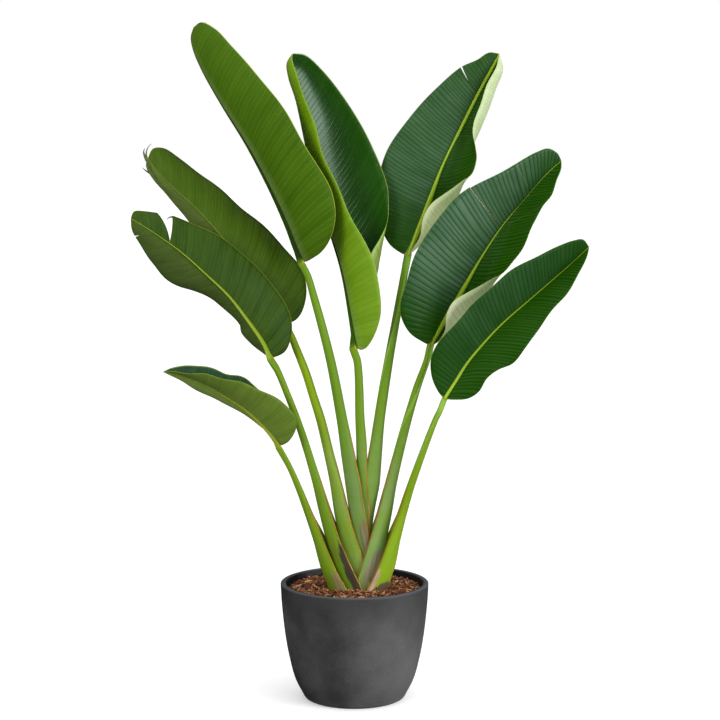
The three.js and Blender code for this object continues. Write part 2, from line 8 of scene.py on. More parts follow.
import bpy
import numpy as np
from mathutils import Euler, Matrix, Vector


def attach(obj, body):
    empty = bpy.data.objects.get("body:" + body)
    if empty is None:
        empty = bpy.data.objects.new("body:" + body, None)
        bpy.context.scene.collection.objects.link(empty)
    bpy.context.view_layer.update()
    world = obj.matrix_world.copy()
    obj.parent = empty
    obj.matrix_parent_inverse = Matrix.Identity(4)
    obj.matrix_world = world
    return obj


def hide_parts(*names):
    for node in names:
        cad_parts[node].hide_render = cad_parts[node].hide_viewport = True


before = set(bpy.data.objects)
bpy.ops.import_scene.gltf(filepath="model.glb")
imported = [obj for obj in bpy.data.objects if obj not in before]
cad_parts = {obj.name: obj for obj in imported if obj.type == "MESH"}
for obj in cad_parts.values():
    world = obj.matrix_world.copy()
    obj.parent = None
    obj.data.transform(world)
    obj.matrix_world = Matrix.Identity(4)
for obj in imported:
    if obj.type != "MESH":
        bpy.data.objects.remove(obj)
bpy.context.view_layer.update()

MM = 0.001

# Planter, in mm. WALL_CURVE is the outside of the wall from the foot to the rim, as (radius, height), and the
# inside of the wall is drawn down to INSIDE_FLOOR, which lies under the soil.
RIM_RADIUS = 150
POT_HEIGHT = 237
FOOT_RADIUS = 95
FOOT_EDGE = [(98, 0.4), (101, 2)]
WALL_CURVE = [(104, 6), (121, 40), (134, 90), (142.5, 142), (148, 197), (150, 233)]
WALL = 11
RIM_ROUNDING = 3.5
RIM_STEPS = 16
INSIDE_FLOOR = 180
POT_SIDES = 160

# Soil, in mm: a rough bed inside the wall, and shreds of bark on it in four sizes, each with its share
SOIL_EDGE_HEIGHT = 222
SOIL_MOUND = 6
SOIL_GAP = 2.2
SOIL_HUB = 0.5
SOIL_RINGS = 60
SOIL_SIDES = 120
BED_FLOOR = 205
BED_SINK = 1.5
BED_ROUGHNESS = 0.8
CHIPS = 3600
CHIP_SIZES = [5, 8, 12, 17]
CHIP_SHARES = [0.3, 0.36, 0.26, 0.08]
CHIP_STEPS = 5

# Blades: the same numbers as in the solids, with a finer mesh and raised veins. Lengths in mm. VEIN_WANDER
# is how far the veins stray, in strips, and over how many mm, in long waves and in short ones.
ROWS_ALONG = 420
COLUMNS_HALF = 17
END_CROWDING = 0.4
COLUMN_CROWDING = 1.7
BASE_INSET = 0.006
TIP_INSET = 0.002
VEIN_LEAD = 0.85
VEIN_SWEEP = 0.04
VEIN_BEND = 0.35
VEIN_WANDER = ((0.45, 31), (0.2, 11))
WAVE_HEIGHT = 2.5
WAVES = 4.5
WAVE_SHIFT = 0.4
LIP_REACH = 0.2
BLADE_THICKNESS = 0.7
RIB_HEIGHT = 1.1

# The two halves of a blade, with the sign of a place on each
HALVES = {"left": -1, "right": 1}

# Stalks, in mm. SHEATH_ANGLE and ROUND_ANGLE are half of the arc of a sheath's and of a petiole's ring.
# A petiole grows free from FREE_BELOW under the height where its sheath closes to FREE_ABOVE over it, and the
# sheath's open margin fades from MARGIN_BELOW under that height to MARGIN_ABOVE over it. The petiole faces
# the blade's way from FACING_BELOW under the blade, and its ring opens over the last OPENING_BELOW.
# JOINT_ROW and MIDRIB_ROW are the blade's rows that give the petiole its direction and the midrib its first
# ring. The knob is the swelling where they meet.
CROWN_Y = -15
ROOT_Z = 195
SOIL_LINE_Z = 223
RINGS_PETIOLE = 190
RINGS_MIDRIB = 150
RING_UNDER = 30
RING_UPPER = 8
SHEATH_ANGLE = math.pi / 2
ROUND_ANGLE = 2.75
ROUND_THICKNESS = 0.9
GROOVE_SHARE = 0.12
SHEATH_GROOVE = 0.1
FREE_BELOW = 100
FREE_ABOVE = 60
MARGIN_BELOW = 20
MARGIN_ABOVE = 50
FACING_BELOW = 10
OPENING_BELOW = 60
JOINT_ROW = 12
MIDRIB_ROW = 6
MIDRIB_SLIMNESS = 0.8
TIP_SHARE = 0.14
KNOB_SWELLING = 0.08
KNOB_RINGS = 1.6
BLEND_REACH = 8
BLEND_PASSES = 12

# Dry threads: rings along each, sides of a ring, and its depth as a share of its width
THREAD_RINGS = 25
THREAD_SIDES = 8
THREAD_FLATNESS = 0.35

# The surround's light from below and above, the backdrop's brightness, and the floor's reach and own glow
GROUND_GLOW = 0.4
SKY_GLOW = 0.75
BACKDROP = 1.0
FLOOR_REACH = 40
FLOOR_GLOW = 0.33

# Lights: name, kind, place, target, whether it shows in reflections, and settings. They are the wide softbox
# at the front right, the narrow fill on the blades from the front left, the narrow light on the planter from
# the right, and the light from above.
LIGHTS = [
    ("softbox", "AREA", (2.05, -1.6, 0.95), (0, 0, 0.8), True,
     {"shape": "RECTANGLE", "size": 1.8, "size_y": 1.9, "energy": 32}),
    ("fill", "AREA", (-1.3, -2.0, 1.6), (0.05, 0, 1.02), False,
     {"shape": "SQUARE", "size": 1, "energy": 2.6, "spread": math.radians(50)}),
    ("pot_light", "AREA", (1.75, -0.75, 0.35), (0.05, 0, 0.04), True,
     {"shape": "SQUARE", "size": 0.5, "energy": 0.6, "spread": math.radians(20)}),
    ("top", "SUN", (0, -0.3, 3), (0, 0, 0), True, {"energy": 0.9, "angle": math.radians(60)}),
]

# Camera: its place, how many degrees it looks down, and its lens and sensor in mm
CAMERA_PLACE = (0.011, -4.0, 1.145)
CAMERA_DOWN = 6.5
CAMERA_LENS = 100.5
CAMERA_SENSOR = 36

# The leaves, from left to right as seen from the front, with points as (x, y, z) in mm.
# rib runs from the blade's base to its tip. left and right are the margins as seen on the upper side with
# the tip up, and left_mid or right_mid is the line halfway out on a half that curls.
# arch is how far each half bulges to the under side, as a share of its width.
# slits: half, place along, share of the half where the slit ends, opening of each lip, rounded corner.
# stalk rows are (x, y, z, width) from the soil up; toward is +1 where the fan's centre is to the right.
# depth is half of the sheath's depth at the soil, and closed is where the sheath has become a petiole.
LEAVES = [
    {"rib": [(-145, -75, 527), (-170, -78, 557), (-206, -81, 594), (-249, -82, 624), (-294, -82, 650),
             (-335, -81, 667), (-376, -80, 675)],
     "left": [(-129, -84, 538), (-115, -92, 563), (-116, -98, 590), (-136, -106, 614), (-172, -114, 639),
              (-220, -120, 658), (-281, -118, 673), (-327, -106, 676), (-357, -90, 677)],
     "right": [(-140, -56, 548), (-140, -46, 579), (-164, -42, 616), (-199, -40, 642), (-225, -40, 662),
               (-259, -42, 668), (-298, -46, 683), (-338, -58, 684), (-363, -70, 681)],
     "right_mid": [(-151, -66, 545), (-180, -60, 567), (-210, -58, 589), (-264, -56, 617), (-312, -60, 638),
                   (-344, -68, 658)],
     "arch": (0.08, 0), "rib_width": 8, "toward": 1, "depth": 38, "closed": 385,
     "stalk": [(-31, -15, 223, 43), (-52, -19, 272, 34), (-71, -28, 328, 24), (-90, -42, 380, 17),
               (-108, -52, 431, 15), (-128, -64, 481, 12.5)]},
    {"rib": [(-165, -52, 698), (-179, -58, 730), (-211, -66, 778), (-246, -73, 824), (-292, -79, 869),
             (-336, -82, 909), (-377, -82, 939), (-414, -78, 963), (-436, -74, 976)],
     "left": [(-139, -49, 710), (-127, -46, 732), (-124, -42, 768), (-139, -38, 809), (-171, -36, 854),
              (-212, -38, 896), (-251, -42, 930), (-299, -48, 956), (-344, -54, 976), (-380, -60, 986),
              (-409, -65, 990), (-430, -70, 989)],
     "right": [(-176, -34, 703), (-207, -8, 724), (-227, 0, 744), (-231, 2, 761), (-247, 2, 783),
               (-278, -2, 808), (-322, -8, 830), (-376, -20, 853), (-398, -32, 886), (-420, -48, 920),
               (-435, -62, 952)],
     "arch": (0.07, 0.1),
     "slits": [("left", 0.776, 0.08, -0.018, 0.085, 0.08), ("right", 0.89, 0.62, 0.004, 0.004, 0)],
     "rib_width": 10, "toward": 1, "depth": 32, "closed": 430,
     "stalk": [(-4, -15, 223, 46), (-21, -17, 269, 40), (-39, -21, 319, 32), (-59, -26, 385, 25),
               (-76, -30, 449, 20), (-95, -34, 514, 17), (-114, -38, 573, 15.5), (-132, -42, 622, 14.5),
               (-152, -47, 671, 14)]},
    {"rib": [(-143, 5, 767), (-170, -2, 812), (-213, -8, 874), (-262, -12, 936), (-310, -14, 990),
             (-361, -14, 1037), (-394, -12, 1072), (-408, -10, 1092)],
     "left": [(-124, 14, 765), (-107, 26, 781), (-97, 38, 821), (-106, 48, 866), (-140, 55, 910),
              (-188, 58, 958), (-257, 56, 1017), (-309, 48, 1060), (-350, 36, 1090), (-379, 18, 1111),
              (-399, 0, 1110)],
     "right": [(-156, 24, 768), (-182, 46, 781), (-216, 60, 817), (-268, 64, 890), (-312, 62, 940),
               (-349, 58, 979), (-375, 46, 1018), (-400, 28, 1045), (-413, 5, 1076)],
     "arch": (0.1, 0.08), "rib_width": 10, "toward": 1, "depth": 25, "closed": 450,
     "stalk": [(17, -15, 223, 44), (-3, -15, 295, 40), (-22, -14, 364, 32), (-39, -12, 448, 25),
               (-53, -10, 508, 22), (-68, -8, 569, 20), (-83, -5, 617, 18.5), (-98, -3, 665, 18),
               (-117, 1, 713, 17), (-127, 3, 737, 15)]},
    {"rib": [(-100, -28, 886), (-113, -31, 915), (-132, -34, 963), (-169, -38, 1042), (-210, -40, 1118),
             (-259, -38, 1196), (-298, -32, 1264), (-315, -25, 1304), (-319, -20, 1328), (-313, -17, 1348)],
     "left": [(-84, -45, 895), (-63, -62, 911), (-46, -76, 938), (-36, -86, 981), (-43, -92, 1026),
              (-72, -94, 1080), (-111, -92, 1145), (-151, -86, 1210), (-197, -76, 1263), (-239, -58, 1311),
              (-270, -38, 1342), (-299, -23, 1356)],
     "right": [(-101, 0, 898), (-103, 28, 920), (-110, 48, 951), (-130, 62, 1007), (-170, 70, 1087),
               (-218, 68, 1171), (-265, 55, 1246), (-298, 25, 1304), (-310, 0, 1331)],
     "arch": (0.12, 0.08), "rib_width": 10, "toward": 1, "depth": 21, "closed": 510,
     "stalk": [(32, -15, 223, 34), (12, -16, 338, 34), (-3, -17, 441, 32), (-14, -18, 506, 29),
               (-25, -19, 571, 24), (-48, -22, 692, 20), (-79, -25, 812, 17), (-96, -28, 868, 14)]},
    {"rib": [(5, -8, 710), (-8, 2, 786), (-25, 12, 869), (-57, 20, 972), (-94, 22, 1103), (-114, 18, 1200),
             (-130, 12, 1249), (-133, 6, 1278), (-121, 2, 1297)],
     "left": [(21, -18, 714), (39, -38, 742), (52, -56, 787), (52, -64, 823), (42, -70, 875),
              (17, -74, 937), (-22, -74, 1011), (-57, -70, 1095), (-88, -60, 1186), (-110, -42, 1248),
              (-122, -18, 1283)],
     "right": [(7, -2, 734), (11, -8, 790), (19, -14, 855), (33, -14, 903), (51, -4, 934), (65, 8, 965),
               (68, 18, 1000), (65, 24, 1038), (37, 32, 1111), (-13, 34, 1200), (-64, 24, 1265),
               (-97, 10, 1294)],
     "right_mid": [(11, 10, 732), (29, 22, 797), (43, 28, 867), (35, 32, 935), (7, 40, 997),
                   (-27, 50, 1107), (-63, 44, 1197), (-100, 26, 1265)],
     "arch": (0.1, 0), "rib_width": 8, "toward": 1, "depth": 13, "closed": 480,
     "stalk": [(25, -15, 223, 28), (16, -14, 428, 23), (14, -13, 519, 24), (11, -12, 570, 21),
               (5, -9, 690, 17)]},
    {"rib": [(107, 30, 896), (119, 36, 928), (140, 46, 984), (171, 55, 1063), (206, 58, 1139),
             (245, 55, 1219), (272, 46, 1270), (288, 40, 1298)],
     "left": [(94, 36, 901), (71, 46, 918), (55, 54, 948), (46, 60, 997), (49, 60, 1051), (65, 58, 1106),
              (104, 54, 1164), (156, 50, 1223), (210, 44, 1270), (244, 40, 1286), (267, 40, 1300)],
     "right": [(119, 16, 915), (130, 4, 937), (136, -4, 971), (152, -6, 999), (179, -6, 1023),
               (210, 0, 1044), (234, 8, 1059), (242, 14, 1088), (239, 16, 1115), (236, 18, 1139),
               (243, 20, 1180), (261, 26, 1230), (281, 32, 1271)],
     "right_mid": [(128, 38, 913), (164, 50, 945), (190, 56, 985), (208, 58, 1023), (214, 58, 1063),
                   (226, 56, 1107), (249, 52, 1143), (265, 48, 1182), (282, 46, 1228), (295, 42, 1266)],
     "arch": (-0.05, 0),
     "slits": [("left", 0.81, 0.5, -0.012, 0.019, 0)],
     "rib_width": 10, "toward": -1, "depth": 17, "closed": 510,
     "stalk": [(9, -15, 223, 28), (23, -10, 374, 32), (34, -7, 439, 34), (42, -3, 503, 29),
               (50, 2, 568, 24), (69, 11, 688, 20), (85, 18, 778, 18), (102, 27, 875, 16)]},
    {"rib": [(153, -14, 719), (177, -6, 769), (207, 2, 820), (250, 8, 891), (294, 10, 957), (337, 8, 1009),
             (380, 0, 1060), (409, -8, 1087)],
     "left": [(137, -20, 727), (110, -26, 746), (93, -32, 777), (91, -36, 807), (102, -40, 845),
              (117, -43, 900), (149, -45, 952), (192, -44, 1010), (224, -42, 1033), (260, -40, 1052),
              (317, -34, 1081), (359, -26, 1104), (381, -20, 1111), (400, -14, 1102)],
     "right": [(168, -30, 731), (179, -40, 754), (181, -48, 782), (194, -52, 808), (222, -50, 828),
               (258, -44, 849), (295, -36, 866), (316, -38, 894), (335, -46, 924), (352, -50, 962),
               (368, -48, 998), (389, -40, 1021), (399, -28, 1050), (408, -16, 1072)],
     "right_mid": [(181, -6, 738), (223, 4, 773), (253, 8, 807), (273, 10, 841), (286, 8, 881),
                   (308, 2, 925), (333, -4, 973), (367, -8, 1021), (395, -10, 1059)],
     "arch": (-0.05, 0),
     "slits": [("left", 0.614, 0.1, 0.014, -0.013, 0.03)],
     "rib_width": 9, "toward": -1, "depth": 28.5, "closed": 450,
     "stalk": [(22, -15, 223, 60), (32, -15, 258, 52), (49, -15, 336, 36), (59, -15, 375, 31),
               (73, -15, 440, 25), (89, -15, 505, 22), (106, -15, 570, 19), (125, -15, 636, 17),
               (144, -14, 691, 14)]},
    {"rib": [(177, -65, 619), (201, -60, 656), (226, -55, 694), (283, -50, 759), (356, -50, 824),
             (427, -60, 888), (459, -72, 920)],
     "left": [(164, -70, 636), (152, -76, 664), (150, -82, 699), (164, -88, 733), (208, -94, 784),
              (275, -96, 852), (331, -94, 891), (395, -88, 921), (426, -82, 933), (446, -78, 935)],
     "right": [(196, -68, 618), (224, -72, 621), (245, -76, 635), (261, -78, 661), (283, -80, 679),
               (311, -80, 692), (336, -82, 722), (373, -84, 778), (415, -86, 830), (442, -84, 875),
               (455, -78, 904)],
     "arch": (-0.05, -0.05), "rib_width": 9, "toward": -1, "depth": 35, "closed": 400,
     "stalk": [(44, -15, 223, 47), (64, -19, 277, 38), (78, -25, 326, 28), (94, -33, 378, 20),
               (114, -42, 445, 17), (160, -58, 576, 13), (169, -62, 596, 13)]},
]

# Each leaf's looks, where they differ from the common ones. upper and under are its colours on those sides as
# (deep, light) in sRGB; the pale under sides of blades 5, 6 and 7 are partly painted light shining through
# them. rib has the colours of its midrib's two flanks on the under side, a lit and a shaded copy of its
# green:
# painted light and painted shade.
# ribbon is half of the midrib's width on the upper side at the base and at the tip, in mm.
# vein is how high the strips between the veins stand, and spacing how wide they are, in mm.
# lean is how far the veins run towards the tip, as a share of the half's width, on the left and on the right
# half, each at the blade's base and tip.
# wax_and_sheen is the share of a pale wash: painted sheen on the upper side's left half, and painted light
# shining through the blade on the under side's right half. sheen is the share of a painted sheen beside the
# under side's midrib, and pale how much the under side is painted paler towards the base, as painted light.
# lines has the colour and strength of the veins on the upper and on the under side, and rim the width in mm
# and the strength of the pale line on the margin. The upper side's dark lines are painted shade in the
# grooves between the strips.
# gloss is the roughness of the upper and of the under side, shine the specular level, and coat the share of a
# clear glossy layer.
DARK_LINES = ((6, 30, 4), 0.5)
FINE_LINES = ((10, 38, 6), 0.34)
COMMON_LOOK = {
    "upper": ((30, 62, 14), (54, 90, 30)),
    "ribbon": (2.9, 1.0),
    "vein": 0.25,
    "spacing": 7,
    "sheen": 0.0,
    "pale": 0.0,
    "gloss": (0.4, 0.5),
    "shine": 0.2,
    "coat": 0.0,
}
LEAF_LOOKS = [
    {"upper": ((14, 40, 22), (52, 88, 64)), "under": ((86, 114, 24), (108, 134, 44)),
     "rib": ((158, 170, 40), (136, 150, 34)), "spacing": 5, "lean": ((0.2, 0.1), (0.1, 0.1)),
     "wax_and_sheen": (0.1, 0.1), "sheen": 0.1, "lines": (DARK_LINES, ((138, 152, 84), 0.3)), "rim": (1.0, 0.35),
     "gloss": (0.4, 0.55), "shine": 0.3},
    {"under": ((40, 64, 8), (62, 90, 22)), "rib": ((160, 182, 52), (142, 166, 44)),
     "lean": ((0.8, 0.3), (0.5, 0.3)), "wax_and_sheen": (0.05, 0.08), "lines": (DARK_LINES, ((92, 120, 54), 0.25)),
     "rim": (1.6, 0.6)},
    {"under": ((56, 84, 2), (76, 104, 16)), "rib": ((136, 156, 62), (104, 126, 42)),
     "lean": ((0.95, 0.3), (0.3, 0.2)), "wax_and_sheen": (0.05, 0.2), "lines": (DARK_LINES, ((112, 134, 70), 0.3)),
     "rim": (1.6, 0.5), "gloss": (0.4, 0.55)},
    {"under": ((58, 92, 0), (74, 110, 8)), "rib": ((98, 122, 34), (34, 60, 0)), "spacing": 9,
     "lean": ((0.75, 0.6), (0.3, 0.2)), "wax_and_sheen": (0.05, 0.05), "sheen": 0.3,
     "lines": (DARK_LINES, ((116, 142, 54), 0.25)), "rim": (1.8, 0.8), "gloss": (0.4, 0.48)},
    {"upper": ((12, 64, 0), (34, 88, 3)), "under": ((116, 160, 0), (136, 178, 16)),
     "rib": ((96, 134, 30), (48, 86, 4)), "vein": 0.35, "spacing": 11, "lean": ((0.3, 0.5), (0.6, 1.1)),
     "wax_and_sheen": (0.0, 0.55), "sheen": 0.3, "lines": (((84, 130, 60), 0.22), ((84, 126, 8), 0.2)),
     "rim": (2.0, 0.5), "gloss": (0.3, 0.5), "shine": 1.0, "coat": 0.5},
    {"upper": ((28, 72, 2), (44, 88, 14)), "under": ((196, 216, 156), (218, 232, 190)),
     "rib": ((132, 162, 56), (120, 150, 44)), "ribbon": (3.1, 1.0), "vein": 0.4,
     "lean": ((0.15, 0.1), (0.9, 0.3)), "wax_and_sheen": (0.26, 0.0), "pale": 1.0,
     "lines": (FINE_LINES, ((150, 184, 104), 0.3)), "rim": (1.2, 0.25), "gloss": (0.42, 0.5), "shine": 0.35},
    {"upper": ((22, 70, 0), (38, 84, 4)), "under": ((190, 212, 146), (212, 228, 176)),
     "rib": ((126, 156, 46), (112, 142, 36)), "ribbon": (3.1, 1.0), "vein": 0.6, "spacing": 8.5,
     "lean": ((0.1, 0.1), (0.9, 0.5)), "wax_and_sheen": (0.38, 0.0), "pale": 1.0,
     "lines": (DARK_LINES, ((150, 184, 104), 0.35)), "rim": (1.2, 0.25), "gloss": (0.36, 0.5), "shine": 0.45},
    {"upper": ((20, 66, 0), (32, 78, 3)), "under": ((110, 140, 80), (150, 172, 110)),
     "rib": ((116, 146, 46), (102, 132, 34)), "ribbon": (3.9, 1.6), "vein": 0.4, "spacing": 8,
     "lean": ((0.15, 0.3), (1.1, 0.4)), "wax_and_sheen": (0.11, 0.0), "pale": 0.7,
     "lines": (FINE_LINES, ((120, 150, 80), 0.3)), "rim": (1.2, 0.25), "shine": 0.22},
]

# The blades' clear layer, and the tints of the shine on blades and stalks
COAT_ROUGHNESS = 0.34
BLADE_SPECULAR_TINT = (0.72, 1, 0.82, 1)
STALK_SPECULAR_TINT = (0.9, 1, 0.7, 1)

# Creases and torn edges drawn on the blades: leaf, half, ends as (along, across), width in mm, colour
CREASES = [
    (4, "left", (0.9995, 0.1), (0.965, 0.9), 2.4, (34, 44, 8)),
    (6, "left", (0.803, 0.03), (0.811, 0.52), 1.2, (8, 26, 6)),
    (7, "left", (0.614, 0.07), (0.601, 0.98), 1.1, (120, 84, 40)),
    (7, "left", (0.803, 0.2), (0.785, 1), 1.4, (92, 122, 78)),
    (7, "right", (0.636, 0.14), (0.752, 0.95), 1.4, (86, 104, 70)),
]

# Dry threads and rolled slips at the tips and slits: points, widths at both ends in mm, colour
THREADS = [
    ([(-398, -6, 1072), (-407, -9, 1084), (-411, -10, 1097), (-410, -10, 1107), (-406, -10, 1115),
      (-400, -10, 1120)], (5, 0.6), (84, 104, 34)),
    ([(-385, 0, 1053), (-395, -4, 1066), (-405, -9, 1080), (-413, -12, 1094), (-416, -12, 1104),
      (-414, -12, 1111)], (14, 0.8), (78, 96, 40)),
    ([(-388, 19, 1051), (-398, 16, 1057), (-405, 14, 1061), (-415, 10, 1067), (-421, 8, 1073)],
     (7, 0.6), (84, 96, 48)),
    ([(-305, -20, 1345), (-300, -21, 1351), (-294, -22, 1354), (-290, -22, 1355.5)], (2.6, 0.6),
     (92, 88, 34)),
    ([(-346, -51, 974), (-353, -52, 976), (-359, -53, 977.5), (-364, -54, 976), (-368, -55, 972)],
     (5, 0.6), (58, 84, 36)),
]

# Each stalk's shares: how far its green is cooled, and how much pale wax its lower part has
STALK_COOL = (0.25, 0.35, 0.0, 0.5, 0.4, 0.5, 0.4, 0.15)
STALK_BLOOM = (0.0, 0.04, 0.4, 0.55, 0.4, 0.5, 0.5, 0.0)

# Dry or bleached patches on the sheaths: leaf, place across (1 at the front margin, 0 at the outer side),
# height in metres, reach across, reach in height, colour, and strength
PATCHES = [
    (1, 0.85, 0.236, 0.26, 0.034, (150, 112, 104), 0.6),
    (2, 0.9, 0.256, 0.2, 0.07, (62, 42, 50), 0.92),
    (2, 0.5, 0.31, 0.16, 0.034, (140, 124, 52), 0.45),
    (4, 0.84, 0.336, 0.18, 0.034, (136, 92, 98), 0.55),
    (7, 0.5, 0.268, 0.34, 0.042, (150, 112, 124), 0.55),
    (8, 0.94, 0.238, 0.16, 0.036, (186, 152, 130), 0.85),
    (8, 0.45, 0.224, 0.4, 0.022, (80, 50, 58), 0.9),
    (8, 0.12, 0.275, 0.12, 0.03, (150, 96, 50), 0.6),
]


# Curves and small helpers


def smoothstep(x, low, high):
    t = np.clip((np.asarray(x, float) - low) / (high - low), 0, 1)
    return t * t * (3 - 2 * t)


def unit(vectors):
    return vectors / np.maximum(np.linalg.norm(vectors, axis=-1, keepdims=True), 1e-12)


def run_along(points):
    """How far each point of a line lies from its first point, measured along the line."""
    return np.concatenate([[0], np.cumsum(np.linalg.norm(np.diff(points, axis=0), axis=1))])


def curve_through(points, steps=48):
    """A centripetal Catmull-Rom curve as (share of its length, points)."""
    p = np.array(points, float)
    p = np.vstack([2 * p[0] - p[1], p, 2 * p[-1] - p[-2]])
    t = np.linspace(0, 1, steps, endpoint=False)[:, None]
    samples = []
    for i in range(1, len(p) - 2):
        gaps = [max(math.sqrt(math.dist(p[i + k], p[i + k + 1])), 1e-6) for k in (-1, 0, 1)]
        start = (p[i] - p[i - 1]) / gaps[0] - (p[i + 1] - p[i - 1]) / (gaps[0] + gaps[1])
        start = (start + (p[i + 1] - p[i]) / gaps[1]) * gaps[1]
        end = (p[i + 1] - p[i]) / gaps[1] - (p[i + 2] - p[i]) / (gaps[1] + gaps[2])
        end = (end + (p[i + 2] - p[i + 1]) / gaps[2]) * gaps[1]
        cubic = 2 * (p[i] - p[i + 1]) + start + end
        square = 3 * (p[i + 1] - p[i]) - 2 * start - end
        samples.append(p[i] + start * t + square * t**2 + cubic * t**3)
    samples = np.vstack(samples + [p[-2][None]])
    lengths = run_along(samples)
    return lengths / lengths[-1], samples


def at(curve, share):
    """Points of a curve at these shares of its length."""
    return np.stack([np.interp(share, curve[0], curve[1][:, k]) for k in range(3)], axis=-1)


def tangents(curve, share):
    step = 0.004
    return unit(at(curve, np.clip(share + step, 0, 1)) - at(curve, np.clip(share - step, 0, 1)))


def smooth_noise(x, seed, spacing):
    """A smooth seeded wobble between -1 and 1 with one free value at each spacing of x."""
    x = np.asarray(x, float) / spacing
    low = math.floor(x.min()) - 1
    values = np.random.default_rng(seed).uniform(-1, 1, int(x.max() - low) + 4)
    whole = np.floor(x).astype(int)
    t = smoothstep(x - whole, 0, 1)
    return values[whole - low] * (1 - t) + values[whole - low + 1] * t


def make_piece(name, vertices, faces, attributes, material, node=None):
    """A smooth-shaded mesh in metres from vertices in mm, riding on the plant's body in a node's place."""
    mesh = bpy.data.meshes.new(name)
    mesh.from_pydata((np.asarray(vertices) * MM).tolist(), [], faces)
    for label, values in attributes.items():
        layer = mesh.attributes.new(label, "FLOAT", "POINT")
        layer.data.foreach_set("value", np.ascontiguousarray(values, np.float32))
    mesh.polygons.foreach_set("use_smooth", [True] * len(mesh.polygons))
    mesh.materials.append(material)
    mesh.validate()
    piece = bpy.data.objects.new(name, mesh)
    bpy.context.scene.collection.objects.link(piece)
    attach(piece, "root")
    if node:
        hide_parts(node)


def tube_faces(rings, sides, offset=0, flip=False):
    """Quads between rings of vertices and a face over each end, for vertices that start at offset."""
    faces = []
    for i in range(rings - 1):
        for j in range(sides):
            k = (j + 1) % sides
            faces.append([i * sides + j, i * sides + k, (i + 1) * sides + k, (i + 1) * sides + j])
    faces.append(list(range(sides))[::-1])
    faces.append([(rings - 1) * sides + k for k in range(sides)])
    return [[offset + corner for corner in (face[::-1] if flip else face)] for face in faces]


# Blades


def blade_half(leaf, side, u, v):
    """Points of one half of a blade for arrays u along and v across, and the half's width there."""
    base, tip = leaf["rib"][0], leaf["rib"][-1]
    rib_curve = curve_through(leaf["rib"])
    edge_curve = curve_through([base, *leaf[side], tip])
    rib = at(rib_curve, u)
    edge = at(edge_curve, u**VEIN_LEAD)
    along = tangents(rib_curve, u)
    across = edge - rib
    width = np.linalg.norm(across, axis=-1, keepdims=True)
    up = unit(np.cross(along, across)) * -HALVES[side]
    if side + "_mid" in leaf:
        middle = at(curve_through([base, *leaf[side + "_mid"], tip]), u ** ((1 + VEIN_LEAD) / 2))
    else:
        arch = leaf["arch"][0 if side == "left" else 1]
        middle = (rib + edge) / 2 - up * arch * width
    u1, v1 = u[..., None], v[..., None]
    middle = middle - along * VEIN_SWEEP * width * np.sin(math.pi * u1)
    phase = 0 if side == "left" else WAVE_SHIFT
    wave = WAVE_HEIGHT * np.sin(2 * math.pi * (WAVES * u1 + phase))
    point = rib * (1 - v1) * (1 - 2 * v1) + middle * 4 * v1 * (1 - v1) + edge * v1 * (2 * v1 - 1)
    return point + up * wave * v1**2 * np.sin(math.pi * u1), width[..., 0]


def opened(slits, part, u, v):
    """Where the points of one part of a half lie once its slits are open. Part k lies past k slits."""
    along, across = u.copy(), v.copy()
    for k, (_, place, share, base_lip, tip_lip, corner) in enumerate(slits):
        near = np.clip((v - share) / (1 - share), 0, 1) * (1 - smoothstep(abs(u - place), 0, LIP_REACH))
        along += near * (tip_lip if part > k else -base_lip)
        if part > k:
            across *= 1 - corner * near * 0.5
    return along, across


def blade_sheet(leaf):
    """The blade's middle surface: vertices, quads, rib vertices, and each vertex's place on the leaf.

    A place is the share along the midrib, the share out to the margin with its half's sign, and the half's
    width there in mm.
    Each half is made in parts, cut at its slits. A part shares its first row with the part before it as far
    out as the slit between them ends, and has a row of its own from there to the margin.
    """
    shares = np.linspace(0, 1, ROWS_ALONG)
    eased = 0.5 - 0.5 * np.cos(math.pi * shares)
    crowded = (1 - END_CROWDING) * shares + END_CROWDING * eased
    rows = BASE_INSET + (1 - TIP_INSET - BASE_INSET) * crowded
    v_steps = np.linspace(0, 1, COLUMNS_HALF + 1)[1:] ** COLUMN_CROWDING
    rib_row = np.arange(ROWS_ALONG)
    points = [at(curve_through(leaf["rib"]), rows)]
    place = [np.stack([rows, 0 * rows, 0 * rows], axis=1)]
    count = ROWS_ALONG
    quads = []
    for side, sign in HALVES.items():
        slits = [s for s in leaf.get("slits", ()) if s[0] == side]
        cuts = [int(np.argmin(abs(rows - s[1]))) for s in slits]
        welded = None
        for part, (start, end) in enumerate(zip([0, *cuts], [*cuts, ROWS_ALONG - 1])):
            u, v = opened(slits, part, *np.meshgrid(rows[start:end + 1], v_steps, indexing="ij"))
            number = count + np.arange(u.size).reshape(u.shape)
            if welded is not None:
                shared = v_steps <= slits[part - 1][2]
                number[0, shared] = welded[shared]
            welded = number[-1].copy()
            point, width = blade_half(leaf, side, u, v)
            points.append(point.reshape(-1, 3))
            place.append(np.stack([u, sign * v, width], axis=-1).reshape(-1, 3))
            count += u.size
            full = np.concatenate([rib_row[start:end + 1, None], number], axis=1)
            a, b, c, d = full[:-1, :-1], full[:-1, 1:], full[1:, 1:], full[1:, :-1]
            order = (a, d, c, b) if side == "left" else (a, b, c, d)
            quads.append(np.stack([q.ravel() for q in order], axis=1))
    points, place, quads = np.vstack(points), np.vstack(place), np.vstack(quads)
    used = np.unique(quads)
    renumber = np.full(len(points), -1)
    renumber[used] = np.arange(len(used))
    return points[used], renumber[quads], renumber[rib_row], place[used]


def vertex_normals(points, quads):
    face = np.cross(points[quads[:, 2]] - points[quads[:, 0]], points[quads[:, 3]] - points[quads[:, 1]])
    normals = np.zeros_like(points)
    for k in range(4):
        np.add.at(normals, quads[:, k], face)
    return unit(normals)


